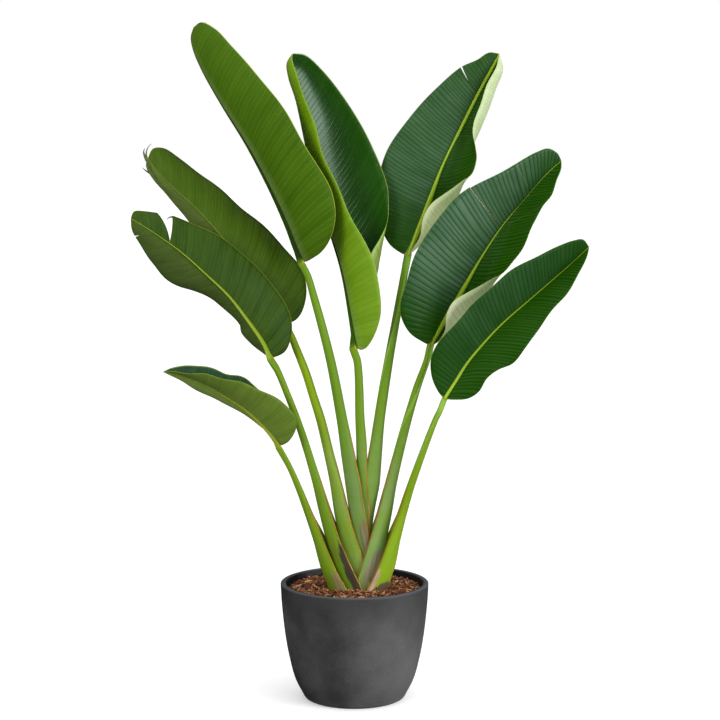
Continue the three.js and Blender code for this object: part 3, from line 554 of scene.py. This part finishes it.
def vein_count(number, look, length, place, rib_mm):
    """How many veins lie between the blade's base and each point, whole on a vein."""
    u, v = place[:, 0], abs(place[:, 1])
    count = np.zeros_like(u)
    for side, sign in enumerate(HALVES.values()):
        mine = place[:, 1] * sign >= 0
        base_lean, tip_lean = look["lean"][side]
        lean = base_lean + (tip_lean - base_lean) * u[mine]
        run = u[mine] * length - lean * (1 - VEIN_BEND * v[mine]) * rib_mm[mine]
        seed = 40 * number + side
        stray = [far * smooth_noise(run, seed + 20 * k, mm) for k, (far, mm) in enumerate(VEIN_WANDER)]
        count[mine] = run / look["spacing"] + sum(stray) + 0.37 * side
    return count


def relief(number, look, place, vein, rib_mm, half_rib):
    """How far the upper side rises, in mm: rounded strips between sharp grooves, and the midrib."""
    u, v = place[:, 0], abs(place[:, 1])
    strength = 0.8 + 0.4 * smooth_noise(vein, 40 * number + 7, 2.2)
    strip = (abs(np.sin(math.pi * vein)) ** 0.7 - 0.65) * strength
    envelope = smoothstep(v, 0.03, 0.2) * (1 - 0.5 * smoothstep(v, 0.75, 1))
    ends = smoothstep(u, 0, 0.06) * (1 - smoothstep(u, 0.94, 1))
    rib = RIB_HEIGHT * (1 - u) ** 0.5 * (1 - smoothstep(rib_mm, half_rib * 0.7, half_rib * 1.25))
    return look["vein"] * strip * envelope * ends, rib


def crease_values(leaf, length, place, rib_mm, side, start, end):
    """Each point's distance in mm from a crease, and its place along it from 0 to 1."""
    ends = []
    for along, across in (start, end):
        width = blade_half(leaf, side, np.array([along]), np.array([across]))[1][0]
        ends.append(np.array([along * length, across * width]))
    run = ends[1] - ends[0]
    reach = np.linalg.norm(run)
    offset = np.stack([place[:, 0] * length, rib_mm], axis=1) - ends[0]
    distance = (offset[:, 0] * run[1] - offset[:, 1] * run[0]) / reach
    other_half = place[:, 1] * HALVES[side] < 0
    return np.where(other_half, 99, distance), offset @ run / reach**2


def open_edges(quads):
    """The edges that only one quad has, as it runs along them."""
    edges = set()
    for quad in quads.tolist():
        for a, b in zip(quad, quad[1:] + quad[:1]):
            if (b, a) in edges:
                edges.remove((b, a))
            else:
                edges.add((a, b))
    return sorted(edges)


def build_blade(number, leaf, look):
    """Builds a blade, and gives its midrib line: points, normals and places along."""
    points, quads, rib_row, place = blade_sheet(leaf)
    length = run_along(curve_through(leaf["rib"])[1])[-1]
    along, side, half_width = place.T
    rib_mm = abs(side) * half_width
    base_width, tip_width = look["ribbon"]
    half_rib = tip_width + (base_width - tip_width) * (1 - along)
    vein = vein_count(number, look, length, place, rib_mm)
    veins, rib = relief(number, look, place, vein, rib_mm, half_rib)
    points = points + vertex_normals(points, quads) * veins[:, None]
    normals = vertex_normals(points, quads)
    count = len(points)
    half = BLADE_THICKNESS / 2
    both = np.vstack([points + normals * (half + rib)[:, None], points - normals * half])
    faces = quads.tolist() + (quads[:, ::-1] + count).tolist()
    faces += [[b, a, a + count, b + count] for a, b in open_edges(quads)]
    values = {
        "along": along,
        "vein": vein,
        "side": side,
        "margin_mm": (1 - abs(side)) * half_width,
        "rib_edge": rib_mm / half_rib,
    }
    creases = [c for c in CREASES if c[0] == number]
    for k, (_, half_name, start, end, _, _) in enumerate(creases):
        distance, run = crease_values(leaf, length, place, rib_mm, half_name, start, end)
        values |= {f"crease_{k}": distance, f"crease_run_{k}": run}
    attributes = {label: np.tile(v, 2) for label, v in values.items()}
    attributes["upper"] = np.repeat([1, 0], count)
    name = f"leaf_blade_{number}"
    material = blade_material(name, look, creases)
    make_piece(name, both, faces, attributes, material, f"blade_{number}")
    return points[rib_row], normals[rib_row], along[rib_row]


# Stalks and threads


def petiole_stations(leaf, rib_points, rib_normals):
    """The upper face's middle line from the root to the blade's base, and each ring's shape there."""
    rows = leaf["stalk"]
    widths = [row[3] for row in rows]
    closed = leaf["closed"]
    base, up = rib_points[JOINT_ROW], rib_normals[JOINT_ROW]
    top = rib_points[0] - up * widths[-1] / 2
    path = curve_through([(rows[0][0], CROWN_Y, ROOT_Z), *[row[:3] for row in rows], tuple(top)])
    share = np.linspace(0, 1, RINGS_PETIOLE)
    centre = at(path, share)
    along = tangents(path, share)
    z = centre[:, 2]
    free = smoothstep(z, closed - FREE_BELOW, closed + FREE_ABOVE)
    facing_up = smoothstep(z, closed, base[2] - FACING_BELOW)[:, None]
    upper = unit(np.array([leaf["toward"], 0, 0]) * (1 - facing_up) + up * facing_up)
    upper = unit(upper - along * (upper * along).sum(1, keepdims=True) * free[:, None])
    thickness = np.interp(z, [row[2] for row in rows], widths) * (1 - (1 - ROUND_THICKNESS) * free)
    sheath = 1 - smoothstep(z, SOIL_LINE_Z, closed)
    rounding = free * (1 - smoothstep(z, base[2] - OPENING_BELOW, base[2]))
    return {
        "face": centre + upper * (thickness / 2)[:, None],
        "along": along,
        "upper": upper,
        "half": thickness / 2 * (1 - sheath) + leaf["depth"] * sheath,
        "thick": thickness,
        "angle": SHEATH_ANGLE + (ROUND_ANGLE - SHEATH_ANGLE) * rounding,
        "groove": thickness * (GROOVE_SHARE * free + SHEATH_GROOVE * (1 - free)),
        "sheath": 1 - smoothstep(z, closed - MARGIN_BELOW, closed + MARGIN_ABOVE),
        "rib": np.zeros(RINGS_PETIOLE),
    }


def midrib_stations(leaf, rib_points, rib_normals, rib_shares):
    """The same values for the midrib, which runs on under the blade to its tip."""
    picks = np.linspace(MIDRIB_ROW, len(rib_points) - 1, RINGS_MIDRIB).astype(int)
    share = rib_shares[picks]
    width = leaf["rib_width"] * (TIP_SHARE + (1 - TIP_SHARE) * (1 - share) ** 1.8)
    size = width + (leaf["stalk"][-1][3] * ROUND_THICKNESS - width) * (1 - smoothstep(share, 0, 0.06))
    return {
        "face": rib_points[picks] + rib_normals[picks] * BLADE_THICKNESS / 4,
        "along": unit(np.gradient(rib_points[picks], axis=0)),
        "upper": rib_normals[picks],
        "half": size / 2 * MIDRIB_SLIMNESS,
        "thick": size,
        "angle": np.full(RINGS_MIDRIB, SHEATH_ANGLE),
        "groove": GROOVE_SHARE * size,
        "sheath": np.zeros(RINGS_MIDRIB),
        "rib": smoothstep(share, 0, 0.03),
    }


def blended(values):
    """The rows of a stalk, evened out round the joint between its petiole and its midrib."""
    values = values.copy()
    low, high = RINGS_PETIOLE - BLEND_REACH, RINGS_PETIOLE + BLEND_REACH
    for _ in range(BLEND_PASSES):
        window = values[low - 1:high + 1]
        values[low:high] = (window[:-2] + window[1:-1] + window[2:]) / 3
    return values


def build_stalk(number, leaf, look, rib_points, rib_normals, rib_shares):
    """Builds a stalk of closed rings, each an arc on the under side and a groove on the upper side."""
    petiole = petiole_stations(leaf, rib_points, rib_normals)
    midrib = midrib_stations(leaf, rib_points, rib_normals, rib_shares)
    stations = {key: np.concatenate([petiole[key], midrib[key]]) for key in petiole}
    for key in ("face", "upper", "half", "thick", "angle", "groove"):
        stations[key] = blended(stations[key])
    face, upper = stations["face"], unit(stations["upper"])
    to_left = unit(np.cross(upper, stations["along"]))
    rows = len(face)
    knob = np.exp(-(((np.arange(rows) - RINGS_PETIOLE + 1) / KNOB_RINGS) ** 2))
    swelling = (1 + KNOB_SWELLING * knob)[:, None]
    angle = stations["angle"][:, None]
    half = stations["half"][:, None] * swelling
    rise = stations["thick"][:, None] / (1 - np.cos(angle)) * swelling
    turns = np.linspace(-1, 1, RING_UNDER + 1)
    inner = np.linspace(1, -1, RING_UPPER + 2)[1:-1]
    columns = len(turns) + len(inner)
    theta, edge = turns * angle, half * np.sin(angle)
    dip = stations["groove"][:, None] * np.cos(inner * math.pi / 2) ** 0.8
    out = np.hstack([half * np.sin(theta), edge * inner])[..., None]
    down = np.hstack([rise * (np.cos(theta) - np.cos(angle)), dip])[..., None]
    points = face[:, None] + to_left[:, None] * out - upper[:, None] * down
    to_edge = np.hstack([(angle - abs(theta)) * (half + rise) / 2, edge * (1.02 - abs(inner)) + 1])
    attributes = {
        "edge_mm": to_edge.ravel(),
        "turn": np.tile(np.concatenate([turns, inner]) * leaf["toward"], rows),
        "groove": np.tile(np.repeat([0, 1], [len(turns), len(inner)]), rows),
        "sheath": np.repeat(stations["sheath"], columns),
        "rib": np.repeat(stations["rib"], columns),
        "knob": np.repeat(knob, columns),
        "run_mm": np.repeat(run_along(face), columns),
    }
    name = f"leaf_stalk_{number}"
    material = stalk_material(name, number, look)
    faces = tube_faces(rows, columns)
    make_piece(name, points.reshape(-1, 3), faces, attributes, material, f"stalk_{number}")


def build_threads():
    """Tapering dry threads, each a thin tube that starts inside its blade."""
    count = THREAD_RINGS * THREAD_SIDES
    share = np.linspace(0, 1, THREAD_RINGS)
    turns = np.linspace(0, 2 * math.pi, THREAD_SIDES, endpoint=False)[None, :, None]
    points, faces = [], []
    for number, (line, (thick, thin), _) in enumerate(THREADS):
        curve = curve_through(line)
        centre, along = at(curve, share), tangents(curve, share)
        across = unit(np.cross(along, [0, 1, 0]))
        up = np.cross(across, along)
        half = (thick + (thin - thick) * share**1.4)[:, None, None] / 2
        ring = across[:, None] * np.cos(turns) + THREAD_FLATNESS * up[:, None] * np.sin(turns)
        points.append((centre[:, None] + half * ring).reshape(-1, 3))
        faces += tube_faces(THREAD_RINGS, THREAD_SIDES, count * number, flip=True)
    attributes = {"thread": np.repeat(np.arange(len(THREADS)), count)}
    make_piece("dry_threads", np.vstack(points), faces, attributes, thread_material())


# Planter and soil


def turned(profile, sides):
    """Vertices and faces of a profile of (radius, height) turned about the upright axis."""
    angles = np.linspace(0, 2 * math.pi, sides, endpoint=False)
    rings = []
    for radius, height in profile:
        rings.append(np.stack([radius * np.cos(angles), radius * np.sin(angles), np.full(sides, height)], 1))
    return np.vstack(rings), tube_faces(len(profile), sides)


def build_pot():
    wall = curve_through([(radius, 0, z) for radius, z in WALL_CURVE], 14)[1][:, [0, 2]].tolist()
    foot = [(FOOT_RADIUS * k / 6, 0) for k in range(1, 7)] + FOOT_EDGE
    shares = [k / RIM_STEPS for k in range(1, RIM_STEPS)]
    rim = []
    for share in shares:
        radius = RIM_RADIUS - WALL / 2 + WALL / 2 * math.cos(math.pi * share)
        rim.append((radius, POT_HEIGHT - RIM_ROUNDING + RIM_ROUNDING * math.sin(math.pi * share) ** 0.7))
    inside = [(radius - WALL, z) for radius, z in wall[::-1] if z > INSIDE_FLOOR]
    vertices, faces = turned(foot + wall + rim + inside, POT_SIDES)
    rim_share = [0] * (len(foot) + len(wall)) + shares + [1] * len(inside)
    attributes = {"rim": np.repeat(rim_share, POT_SIDES)}
    make_piece("planter", vertices, faces, attributes, pot_material(), "pot")


def soil_height(x, y):
    """The height of the soil: a low mound with soft lumps."""
    out = np.hypot(x, y) / RIM_RADIUS
    rough = np.sin(x * 0.19 + 1.3 * np.sin(y * 0.11)) + np.sin(y * 0.23 + 1.7 * np.sin(x * 0.13))
    return SOIL_EDGE_HEIGHT + SOIL_MOUND * (1 - out**2) + 0.8 * rough


def chip_points(random, size):
    """One shred of bark: the corners of a bent, tapering strip with four sides, round its own centre."""
    length = size * random.uniform(0.8, 1.25)
    width = size * random.uniform(0.16, 0.34)
    thick = random.uniform(0.5, 1.2)
    bend = random.uniform(-1.4, 1.4)
    twist = random.uniform(-0.9, 0.9)
    points = []
    for k in range(CHIP_STEPS + 1):
        t = k / CHIP_STEPS - 0.5
        taper = 1 - 1.5 * t * t
        y = 0.12 * size * math.sin(3 * t + twist)
        z = bend * size * 0.5 * (0.25 - t * t)
        c, s = math.cos(twist * t * 2), math.sin(twist * t * 2)
        for a, b in ((-1, -1), (1, -1), (1, 1), (-1, 1)):
            across, high = a * width / 2 * taper, b * thick / 2 * taper
            points.append((length * t, y + across * c - high * s, z + across * s + high * c))
    return np.array(points)


def build_soil():
    """The bed of soil, and on it the bark, which shares its random numbers."""
    edge = RIM_RADIUS - WALL - SOIL_GAP
    profile = [(radius, 0) for radius in np.linspace(SOIL_HUB, edge, SOIL_RINGS)]
    vertices, faces = turned([*profile, (edge, BED_FLOOR), (SOIL_HUB, BED_FLOOR)], SOIL_SIDES)
    random = np.random.default_rng(11)
    top = vertices[:SOIL_RINGS * SOIL_SIDES]
    top[:, 2] = soil_height(top[:, 0], top[:, 1]) - BED_SINK + random.normal(0, BED_ROUGHNESS, len(top))
    attributes = {"tone": np.full(len(vertices), 0.1)}
    # The bed is painted darker, as shade under the bark.
    make_piece("soil_bed", vertices, faces, attributes, soil_material("soil_bed", 0.6), "soil")

    corners = (CHIP_STEPS + 1) * 4
    points, faces, tones = [], [], []
    for k in range(CHIPS):
        size = random.choice(CHIP_SIZES, p=CHIP_SHARES)
        chip = chip_points(random, size)
        radius = (edge - size * 0.6) * math.sqrt(random.uniform(0, 1))
        bearing = random.uniform(0, 2 * math.pi)
        x, y = radius * math.cos(bearing), radius * math.sin(bearing)
        yaw, pitch, roll = random.uniform(0, 2 * math.pi), random.normal(0, 0.28), random.uniform(-0.8, 0.8)
        turn = np.array(Euler((roll, pitch, yaw)).to_matrix())
        points.append(chip @ turn.T + [x, y, soil_height(x, y) + random.uniform(-0.5, 2.2)])
        faces += tube_faces(CHIP_STEPS + 1, 4, corners * k)
        tones.append(random.beta(1.6, 1.9))
    attributes = {"tone": np.repeat(tones, corners)}
    make_piece("bark_chips", np.vstack(points), faces, attributes, soil_material("bark_chips", 1))


# Materials


def linear(srgb):
    """A colour of 0 to 255 as seen, as the linear RGBA that a shader takes."""
    rgb = [c / 255 for c in srgb]
    rgb = [c / 12.92 if c <= 0.04045 else ((c + 0.055) / 1.055) ** 2.4 for c in rgb]
    return (*rgb, 1)


class Nodes:
    """Lays out the nodes of a material or a world. Values may be sockets, numbers, or colours as seen."""

    def __init__(self, owner):
        owner.use_nodes = True
        self.owner = owner
        self.tree = owner.node_tree

    def put(self, socket, value):
        if isinstance(value, bpy.types.NodeSocket):
            self.tree.links.new(value, socket)
        elif isinstance(value, tuple) and len(value) == 3:
            socket.default_value = linear(value)
        else:
            socket.default_value = value

    def add(self, kind, inputs, output=0, **settings):
        """Adds a node with these settings and inputs, and gives one of its outputs."""
        node = self.tree.nodes.new(kind)
        for key, value in settings.items():
            setattr(node, key, value)
        for key, value in inputs.items():
            self.put(node.inputs[key], value)
        return node.outputs[output]

    def attribute(self, name):
        return self.add("ShaderNodeAttribute", {}, "Fac", attribute_name=name)

    def position(self):
        return self.add("ShaderNodeTexCoord", {}, "Object")

    def height(self):
        return self.add("ShaderNodeSeparateXYZ", {0: self.position()}, 2)

    def join(self, x, y, z):
        return self.add("ShaderNodeCombineXYZ", {0: x, 1: y, 2: z})

    def math(self, operation, a, b=0.0):
        return self.add("ShaderNodeMath", {0: a, 1: b}, operation=operation)

    def product(self, value, *others):
        for other in others:
            value = self.math("MULTIPLY", value, other)
        return value

    def total(self, value, *others):
        for other in others:
            value = self.math("ADD", value, other)
        return value

    def swing(self, value, factor):
        """How far a value is from 0.5, times a factor."""
        return self.product(self.math("SUBTRACT", value, 0.5), factor)

    def mix(self, factor, a, b):
        return self.add("ShaderNodeMix", {0: factor, 6: a, 7: b}, 2, data_type="RGBA")

    def over(self, color, tint, *shares):
        """A colour with a tint laid over it, as strong as the product of the shares."""
        return self.mix(self.product(*shares), color, tint)

    def chance(self, number):
        """A random value from 0 to 1 for each whole number."""
        return self.add("ShaderNodeTexWhiteNoise", {"W": number}, "Value", noise_dimensions="1D")

    def ease(self, value, low, high, to_low=0.0, to_high=1.0):
        """A smooth step from to_low where the value is low to to_high where it is high."""
        inputs = dict(enumerate((value, low, high, to_low, to_high)))
        return self.add("ShaderNodeMapRange", inputs, interpolation_type="SMOOTHSTEP")

    def noise(self, vector, scale=1, detail=3, roughness=0.55):
        inputs = {"Vector": vector, "Scale": scale, "Detail": detail, "Roughness": roughness}
        return self.add("ShaderNodeTexNoise", inputs, "Fac")

    def bump(self, height, distance, strength):
        inputs = {"Strength": strength, "Distance": distance, "Height": height}
        return self.add("ShaderNodeBump", inputs)

    def finish(self, inputs):
        """The material, with these values in the shader's inputs."""
        shader = self.tree.nodes["Principled BSDF"]
        for label, value in inputs.items():
            self.put(shader.inputs[label], value)
        return self.owner


def material_nodes(name):
    return Nodes(bpy.data.materials.new(name))


def blade_material(name, look, creases):
    """Strips between fine veins, a bright midrib, a thin pale rim, lines along creases, and painted light and
    shade.
    """
    n = material_nodes(name)
    vein, side, along = map(n.attribute, ("vein", "side", "along"))
    is_upper, margin, rib = map(n.attribute, ("upper", "margin_mm", "rib_edge"))
    cloud = n.noise(n.position(), 9)
    bands = n.noise(n.join(n.product(vein, 0.4), n.product(side, 1.4), is_upper))
    fine = n.noise(n.join(n.product(vein, 6), n.product(side, 2.5), is_upper), roughness=0.6)
    strip = n.chance(n.math("FLOOR", vein))
    wide = n.total(n.swing(bands, 0.9), n.swing(cloud, 0.9))
    narrow = n.total(n.swing(fine, 0.5), n.swing(strip, 0.4))
    blend = n.total(wide, narrow, 0.5)
    from_vein = n.math("PINGPONG", vein, 0.5)
    line = n.product(n.ease(from_vein, 0.13, 0.02), n.ease(bands, 0.25, 0.6, 0.5), n.ease(margin, 0.5, 5))
    (upper_line, upper_share), (under_line, under_share) = look["lines"]

    under = n.mix(blend, *look["under"])
    # Painted light: a pale wash on the under side's right half, for light shining through the blade.
    painted_sheen = n.product(n.ease(side, -0.02, 0.1), n.ease(fine, 0.3, 0.65, 0.6, 1.15))
    under = n.over(under, (204, 226, 128), painted_sheen, look["wax_and_sheen"][1])
    # Painted light: the under side paler towards the base, lifting the shade there.
    under = n.over(under, (248, 255, 212), n.ease(along, 0.42, 0.12), look["pale"])
    # Painted sheen: a pale band beside the under side's midrib, strongest towards the base.
    sheen = n.product(n.ease(rib, 11, 2), n.ease(fine, 0.3, 0.7, 0.5, 1.2), n.ease(along, 1, 0.5, 0.3))
    under = n.over(under, (150, 166, 110), sheen, look["sheen"])
    under = n.over(under, under_line, line, under_share)

    upper = n.mix(blend, *look["upper"])
    # Painted sheen: a pale bluish wash on the upper side's left half, away from the base and the tip.
    painted_sheen = n.product(n.ease(side, 0.02, -0.1), n.ease(from_vein, 0, 0.4, 0.45))
    ends = n.product(n.ease(along, 0.1, 0.32), n.ease(along, 1, 0.66, 0.2))
    painted_sheen = n.product(painted_sheen, n.ease(bands, 0.3, 0.7, 0.7, 1.25), ends)
    upper = n.over(upper, (108, 138, 120), painted_sheen, look["wax_and_sheen"][0])
    # Painted light: the middles of the strips on the right half lighter, as lit relief.
    right = n.ease(side, -0.1, 0.02)
    upper = n.over(upper, (70, 116, 20), right, n.ease(from_vein, 0.1, 0.42, 0, 0.2))
    # The veins' lines; where they are dark, they are painted shade in the grooves between the strips.
    upper = n.over(upper, upper_line, line, upper_share)
    # Painted shade: a dark band along both sides of the midrib.
    upper = n.over(upper, DARK_LINES[0], n.ease(rib, 2, 1.3), 0.35)
    ribbon_color = n.mix(n.ease(rib, 1, 0.2), (128, 160, 26), (176, 204, 56))
    upper = n.over(upper, ribbon_color, n.ease(rib, 1.08, 0.94))

    color = n.mix(is_upper, under, upper)
    rim_width, rim_share = look["rim"]
    color = n.over(color, (170, 190, 50), n.ease(margin, rim_width, 0.4, 0, rim_share))
    for k, (_, _, _, _, width, tint) in enumerate(creases):
        distance, run = n.attribute(f"crease_{k}"), n.attribute(f"crease_run_{k}")
        near = n.ease(n.math("ABSOLUTE", distance), width / 2, width / 5)
        color = n.over(color, tint, near, n.ease(run, -0.02, 0.03), n.ease(run, 1.03, 0.98))
    color = n.over(color, (176, 132, 30), n.ease(along, 0.016, 0.008), n.ease(rib, 1, 1.6), 0.6)
    gloss_upper, gloss_under = look["gloss"]
    height = n.total(n.product(fine, 0.1), n.product(line, -0.8))
    return n.finish({
        "Base Color": color,
        "Roughness": n.total(n.ease(is_upper, 0, 1, gloss_under, gloss_upper), n.swing(strip, 0.06)),
        "Normal": n.bump(height, 0.0006, 0.7),
        "Specular IOR Level": look["shine"],
        "Specular Tint": BLADE_SPECULAR_TINT,
        "Coat Weight": look["coat"],
        "Coat Roughness": COAT_ROUGHNESS,
    })


def stalk_material(name, number, look):
    """Waxy green with an orange-brown sheath margin and dry patches, the midrib's green, and painted light
    and shade.
    """
    n = material_nodes(name)
    run, turn, edge, sheath = map(n.attribute, ("run_mm", "turn", "edge_mm", "sheath"))
    rib, knob, groove = map(n.attribute, ("rib", "knob", "groove"))
    height = n.height()
    fibres = n.noise(n.join(n.product(run, 0.012), n.product(turn, 11), 0), detail=4, roughness=0.6)
    streaks = n.noise(n.join(n.product(run, 0.006), n.product(turn, 2.2), number), detail=2, roughness=0.5)
    cloud = n.noise(n.position(), 24)
    shade = n.total(n.swing(streaks, 0.9), n.swing(fibres, 0.6), 0.5)
    color = n.mix(shade, (104, 138, 4), (154, 184, 28))
    color = n.over(color, (74, 126, 44), STALK_COOL[number - 1])
    wax_and_sheen = n.product(n.ease(cloud, 0.3, 0.62, 0.4), n.ease(height, 0.62, 0.4))
    color = n.over(color, (136, 158, 110), wax_and_sheen, STALK_BLOOM[number - 1])
    # Painted light: the groove on the petiole's upper face lighter, over the shade in it.
    color = n.over(color, (142, 188, 76), groove, n.ease(sheath, 0.05, 0), 0.75)
    # The midrib's two flanks: a lighter one as painted light and a darker one as painted shade.
    color = n.over(color, n.mix(n.ease(turn, -0.15, 0.3), *look["rib"]), rib)

    ragged = n.total(n.swing(cloud, 1.4), n.swing(fibres, 1.6))
    for leaf, across, middle, wide, tall, tint, share in PATCHES:
        if leaf != number:
            continue
        x = n.math("DIVIDE", n.math("SUBTRACT", turn, across), wide)
        z = n.math("DIVIDE", n.math("SUBTRACT", height, middle), tall)
        reach = n.total(n.math("POWER", x, 2), n.math("POWER", z, 2), ragged)
        tints = [tuple(min(c * factor, 255) for c in tint) for factor in (0.78, 1.25)]
        tinted = n.mix(n.ease(fibres, 0.3, 0.7), *tints)
        color = n.over(color, tinted, n.ease(reach, 1.3, 0.5 * share + 0.3, 0, share))

    margin = n.ease(sheath, 0.02, 0.3)
    # Painted shade: a darker band just inside the sheath's open margin.
    color = n.over(color, (70, 84, 20), n.ease(edge, 5, 1.8, 0, 0.35), margin)
    orange = n.mix(n.ease(fibres, 0.35, 0.65), (136, 66, 14), (218, 142, 58))
    color = n.over(color, orange, n.ease(edge, 1.9, 0.9), margin)
    color = n.over(color, (184, 152, 34), n.ease(knob, 0.4, 0.8), n.ease(edge, 3.5, 2))
    return n.finish({
        "Base Color": color,
        "Roughness": n.ease(cloud, 0.3, 0.7, 0.36, 0.5),
        "Normal": n.bump(fibres, 0.0003, 0.5),
        "Specular IOR Level": 0.25,
        "Specular Tint": STALK_SPECULAR_TINT,
    })


def thread_material():
    """Dry brown green, in each thread's own colour, with lighter fibres."""
    n = material_nodes("dry_threads")
    which = n.attribute("thread")
    color = THREADS[0][2]
    for number, (_, _, tint) in enumerate(THREADS[1:], start=1):
        color = n.over(color, tint, n.ease(which, number - 0.6, number - 0.4))
    fibres = n.noise(n.position(), 300, roughness=0.6)
    color = n.over(color, (150, 146, 96), n.ease(fibres, 0.45, 0.7), 0.35)
    return n.finish({"Base Color": color, "Roughness": 0.6, "Normal": n.bump(fibres, 0.0003, 0.5)})


def pot_material():
    """Matte charcoal with a fine sandy speckle and soft cloudy patches; painted shade high up and on the
    smooth inside.
    """
    n = material_nodes("planter")
    rim = n.attribute("rim")
    cloud = n.noise(n.position(), 8, 5, 0.62)
    sand = n.noise(n.position(), 560, 2, 0.7)
    grit = n.noise(n.position(), 1500, 2, 0.7)
    color = n.mix(n.ease(cloud, 0.3, 0.7), (58, 58, 59), (84, 84, 85))
    color = n.over(color, (134, 128, 120), n.ease(sand, 0.57, 0.75), 0.35)
    color = n.over(color, (34, 33, 33), n.ease(sand, 0.43, 0.28), 0.5)
    # Painted shade: the wall darker towards its top.
    color = n.over(color, (38, 38, 39), n.ease(n.height(), 0.15, 0.232, 0, 0.5))
    # Painted highlight: a pale bluish line over the rim.
    color = n.over(color, (92, 98, 106), n.ease(rim, 0.02, 0.2), n.ease(rim, 1, 0.7), 0.5)
    # Painted shade: the inside of the wall dark.
    color = n.over(color, (36, 37, 39), n.ease(rim, 0.75, 1))
    return n.finish({
        "Base Color": color,
        "Roughness": n.ease(cloud, 0.3, 0.7, 0.55, 0.75),
        "Normal": n.bump(n.total(sand, n.product(grit, 0.5)), 0.0003, 0.5),
        "Specular IOR Level": 0.4,
    })


def soil_material(name, brightness):
    """Shredded bark from dark brown to tan, one tone for each shred, darkened as painted shade when
    brightness is low.
    """
    n = material_nodes(name)
    tone = n.attribute("tone")
    fibres = n.noise(n.position(), 420, roughness=0.65)
    shade = n.total(tone, n.swing(fibres, 0.5))
    dark = n.mix(n.ease(shade, 0, 0.45), (34, 16, 8), (136, 78, 46))
    color = n.over(dark, (226, 172, 120), n.ease(shade, 0.5, 0.95))
    # Painted shade: darker as brightness falls below 1, as on the bed under the shreds.
    color = n.over(color, (34, 20, 13), 1 - brightness)
    return n.finish({"Base Color": color, "Roughness": 0.85, "Normal": n.bump(fibres, 0.0006, 0.8)})


# Studio


def add_light(name, kind, place, target, glossy, settings):
    """A light at place that shines towards target."""
    data = bpy.data.lights.new(name, kind)
    for key, value in settings.items():
        setattr(data, key, value)
    light = bpy.data.objects.new(name, data)
    bpy.context.scene.collection.objects.link(light)
    light.location = place
    light.rotation_euler = (Vector(target) - Vector(place)).to_track_quat("-Z", "Y").to_euler()
    light.visible_camera = False
    light.visible_glossy = glossy


def build_world():
    """A surround that lights softly from all round and more from above, and an even backdrop to look at."""
    world = bpy.data.worlds.new("studio")
    n = Nodes(world)
    rise = n.add("ShaderNodeSeparateXYZ", {0: n.add("ShaderNodeTexCoord", {}, "Generated")}, 2)
    glow = n.add("ShaderNodeMapRange", dict(enumerate((rise, -0.4, 0.8, GROUND_GLOW, SKY_GLOW))))
    surround = n.tree.nodes["Background"]
    n.put(surround.inputs["Color"], (1, 1, 1, 1))
    n.put(surround.inputs["Strength"], glow)
    backdrop = n.add("ShaderNodeBackground", {"Color": (1, 1, 1, 1), "Strength": BACKDROP})
    seen = n.add("ShaderNodeLightPath", {}, "Is Camera Ray")
    chosen = n.add("ShaderNodeMixShader", {0: seen, 1: surround.outputs[0], 2: backdrop})
    n.put(n.tree.nodes["World Output"].inputs["Surface"], chosen)
    world.cycles_visibility.glossy = False
    bpy.context.scene.world = world


def build_floor():
    """An even pale floor, which throws no light back at the plant."""
    corners = [(x * FLOOR_REACH, y * FLOOR_REACH, 0) for x, y in ((-1, -1), (1, -1), (1, 1), (-1, 1))]
    mesh = bpy.data.meshes.new("floor")
    mesh.from_pydata(corners, [], [(0, 1, 2, 3)])
    floor = bpy.data.objects.new("floor", mesh)
    bpy.context.scene.collection.objects.link(floor)
    mesh.materials.append(material_nodes("floor").finish({
        "Base Color": (0.85, 0.85, 0.85, 1),
        "Roughness": 0.9,
        "Specular IOR Level": 0.0,
        "Emission Color": (1, 1, 1, 1),
        "Emission Strength": FLOOR_GLOW,
    }))
    floor.visible_diffuse = False
    floor.visible_glossy = False


def build_camera():
    data = bpy.data.cameras.new("camera")
    data.lens = CAMERA_LENS
    data.sensor_width = CAMERA_SENSOR
    camera = bpy.data.objects.new("camera", data)
    scene = bpy.context.scene
    scene.collection.objects.link(camera)
    camera.location = CAMERA_PLACE
    camera.rotation_euler = (math.radians(90 - CAMERA_DOWN), 0, 0)
    scene.camera = camera
    scene.view_settings.view_transform = "Standard"


build_world()
build_floor()
for light in LIGHTS:
    add_light(*light)
build_camera()
for number, (leaf, own_look) in enumerate(zip(LEAVES, LEAF_LOOKS), start=1):
    look = COMMON_LOOK | own_look
    midrib = build_blade(number, leaf, look)
    build_stalk(number, leaf, look, *midrib)
build_threads()
build_pot()
build_soil()
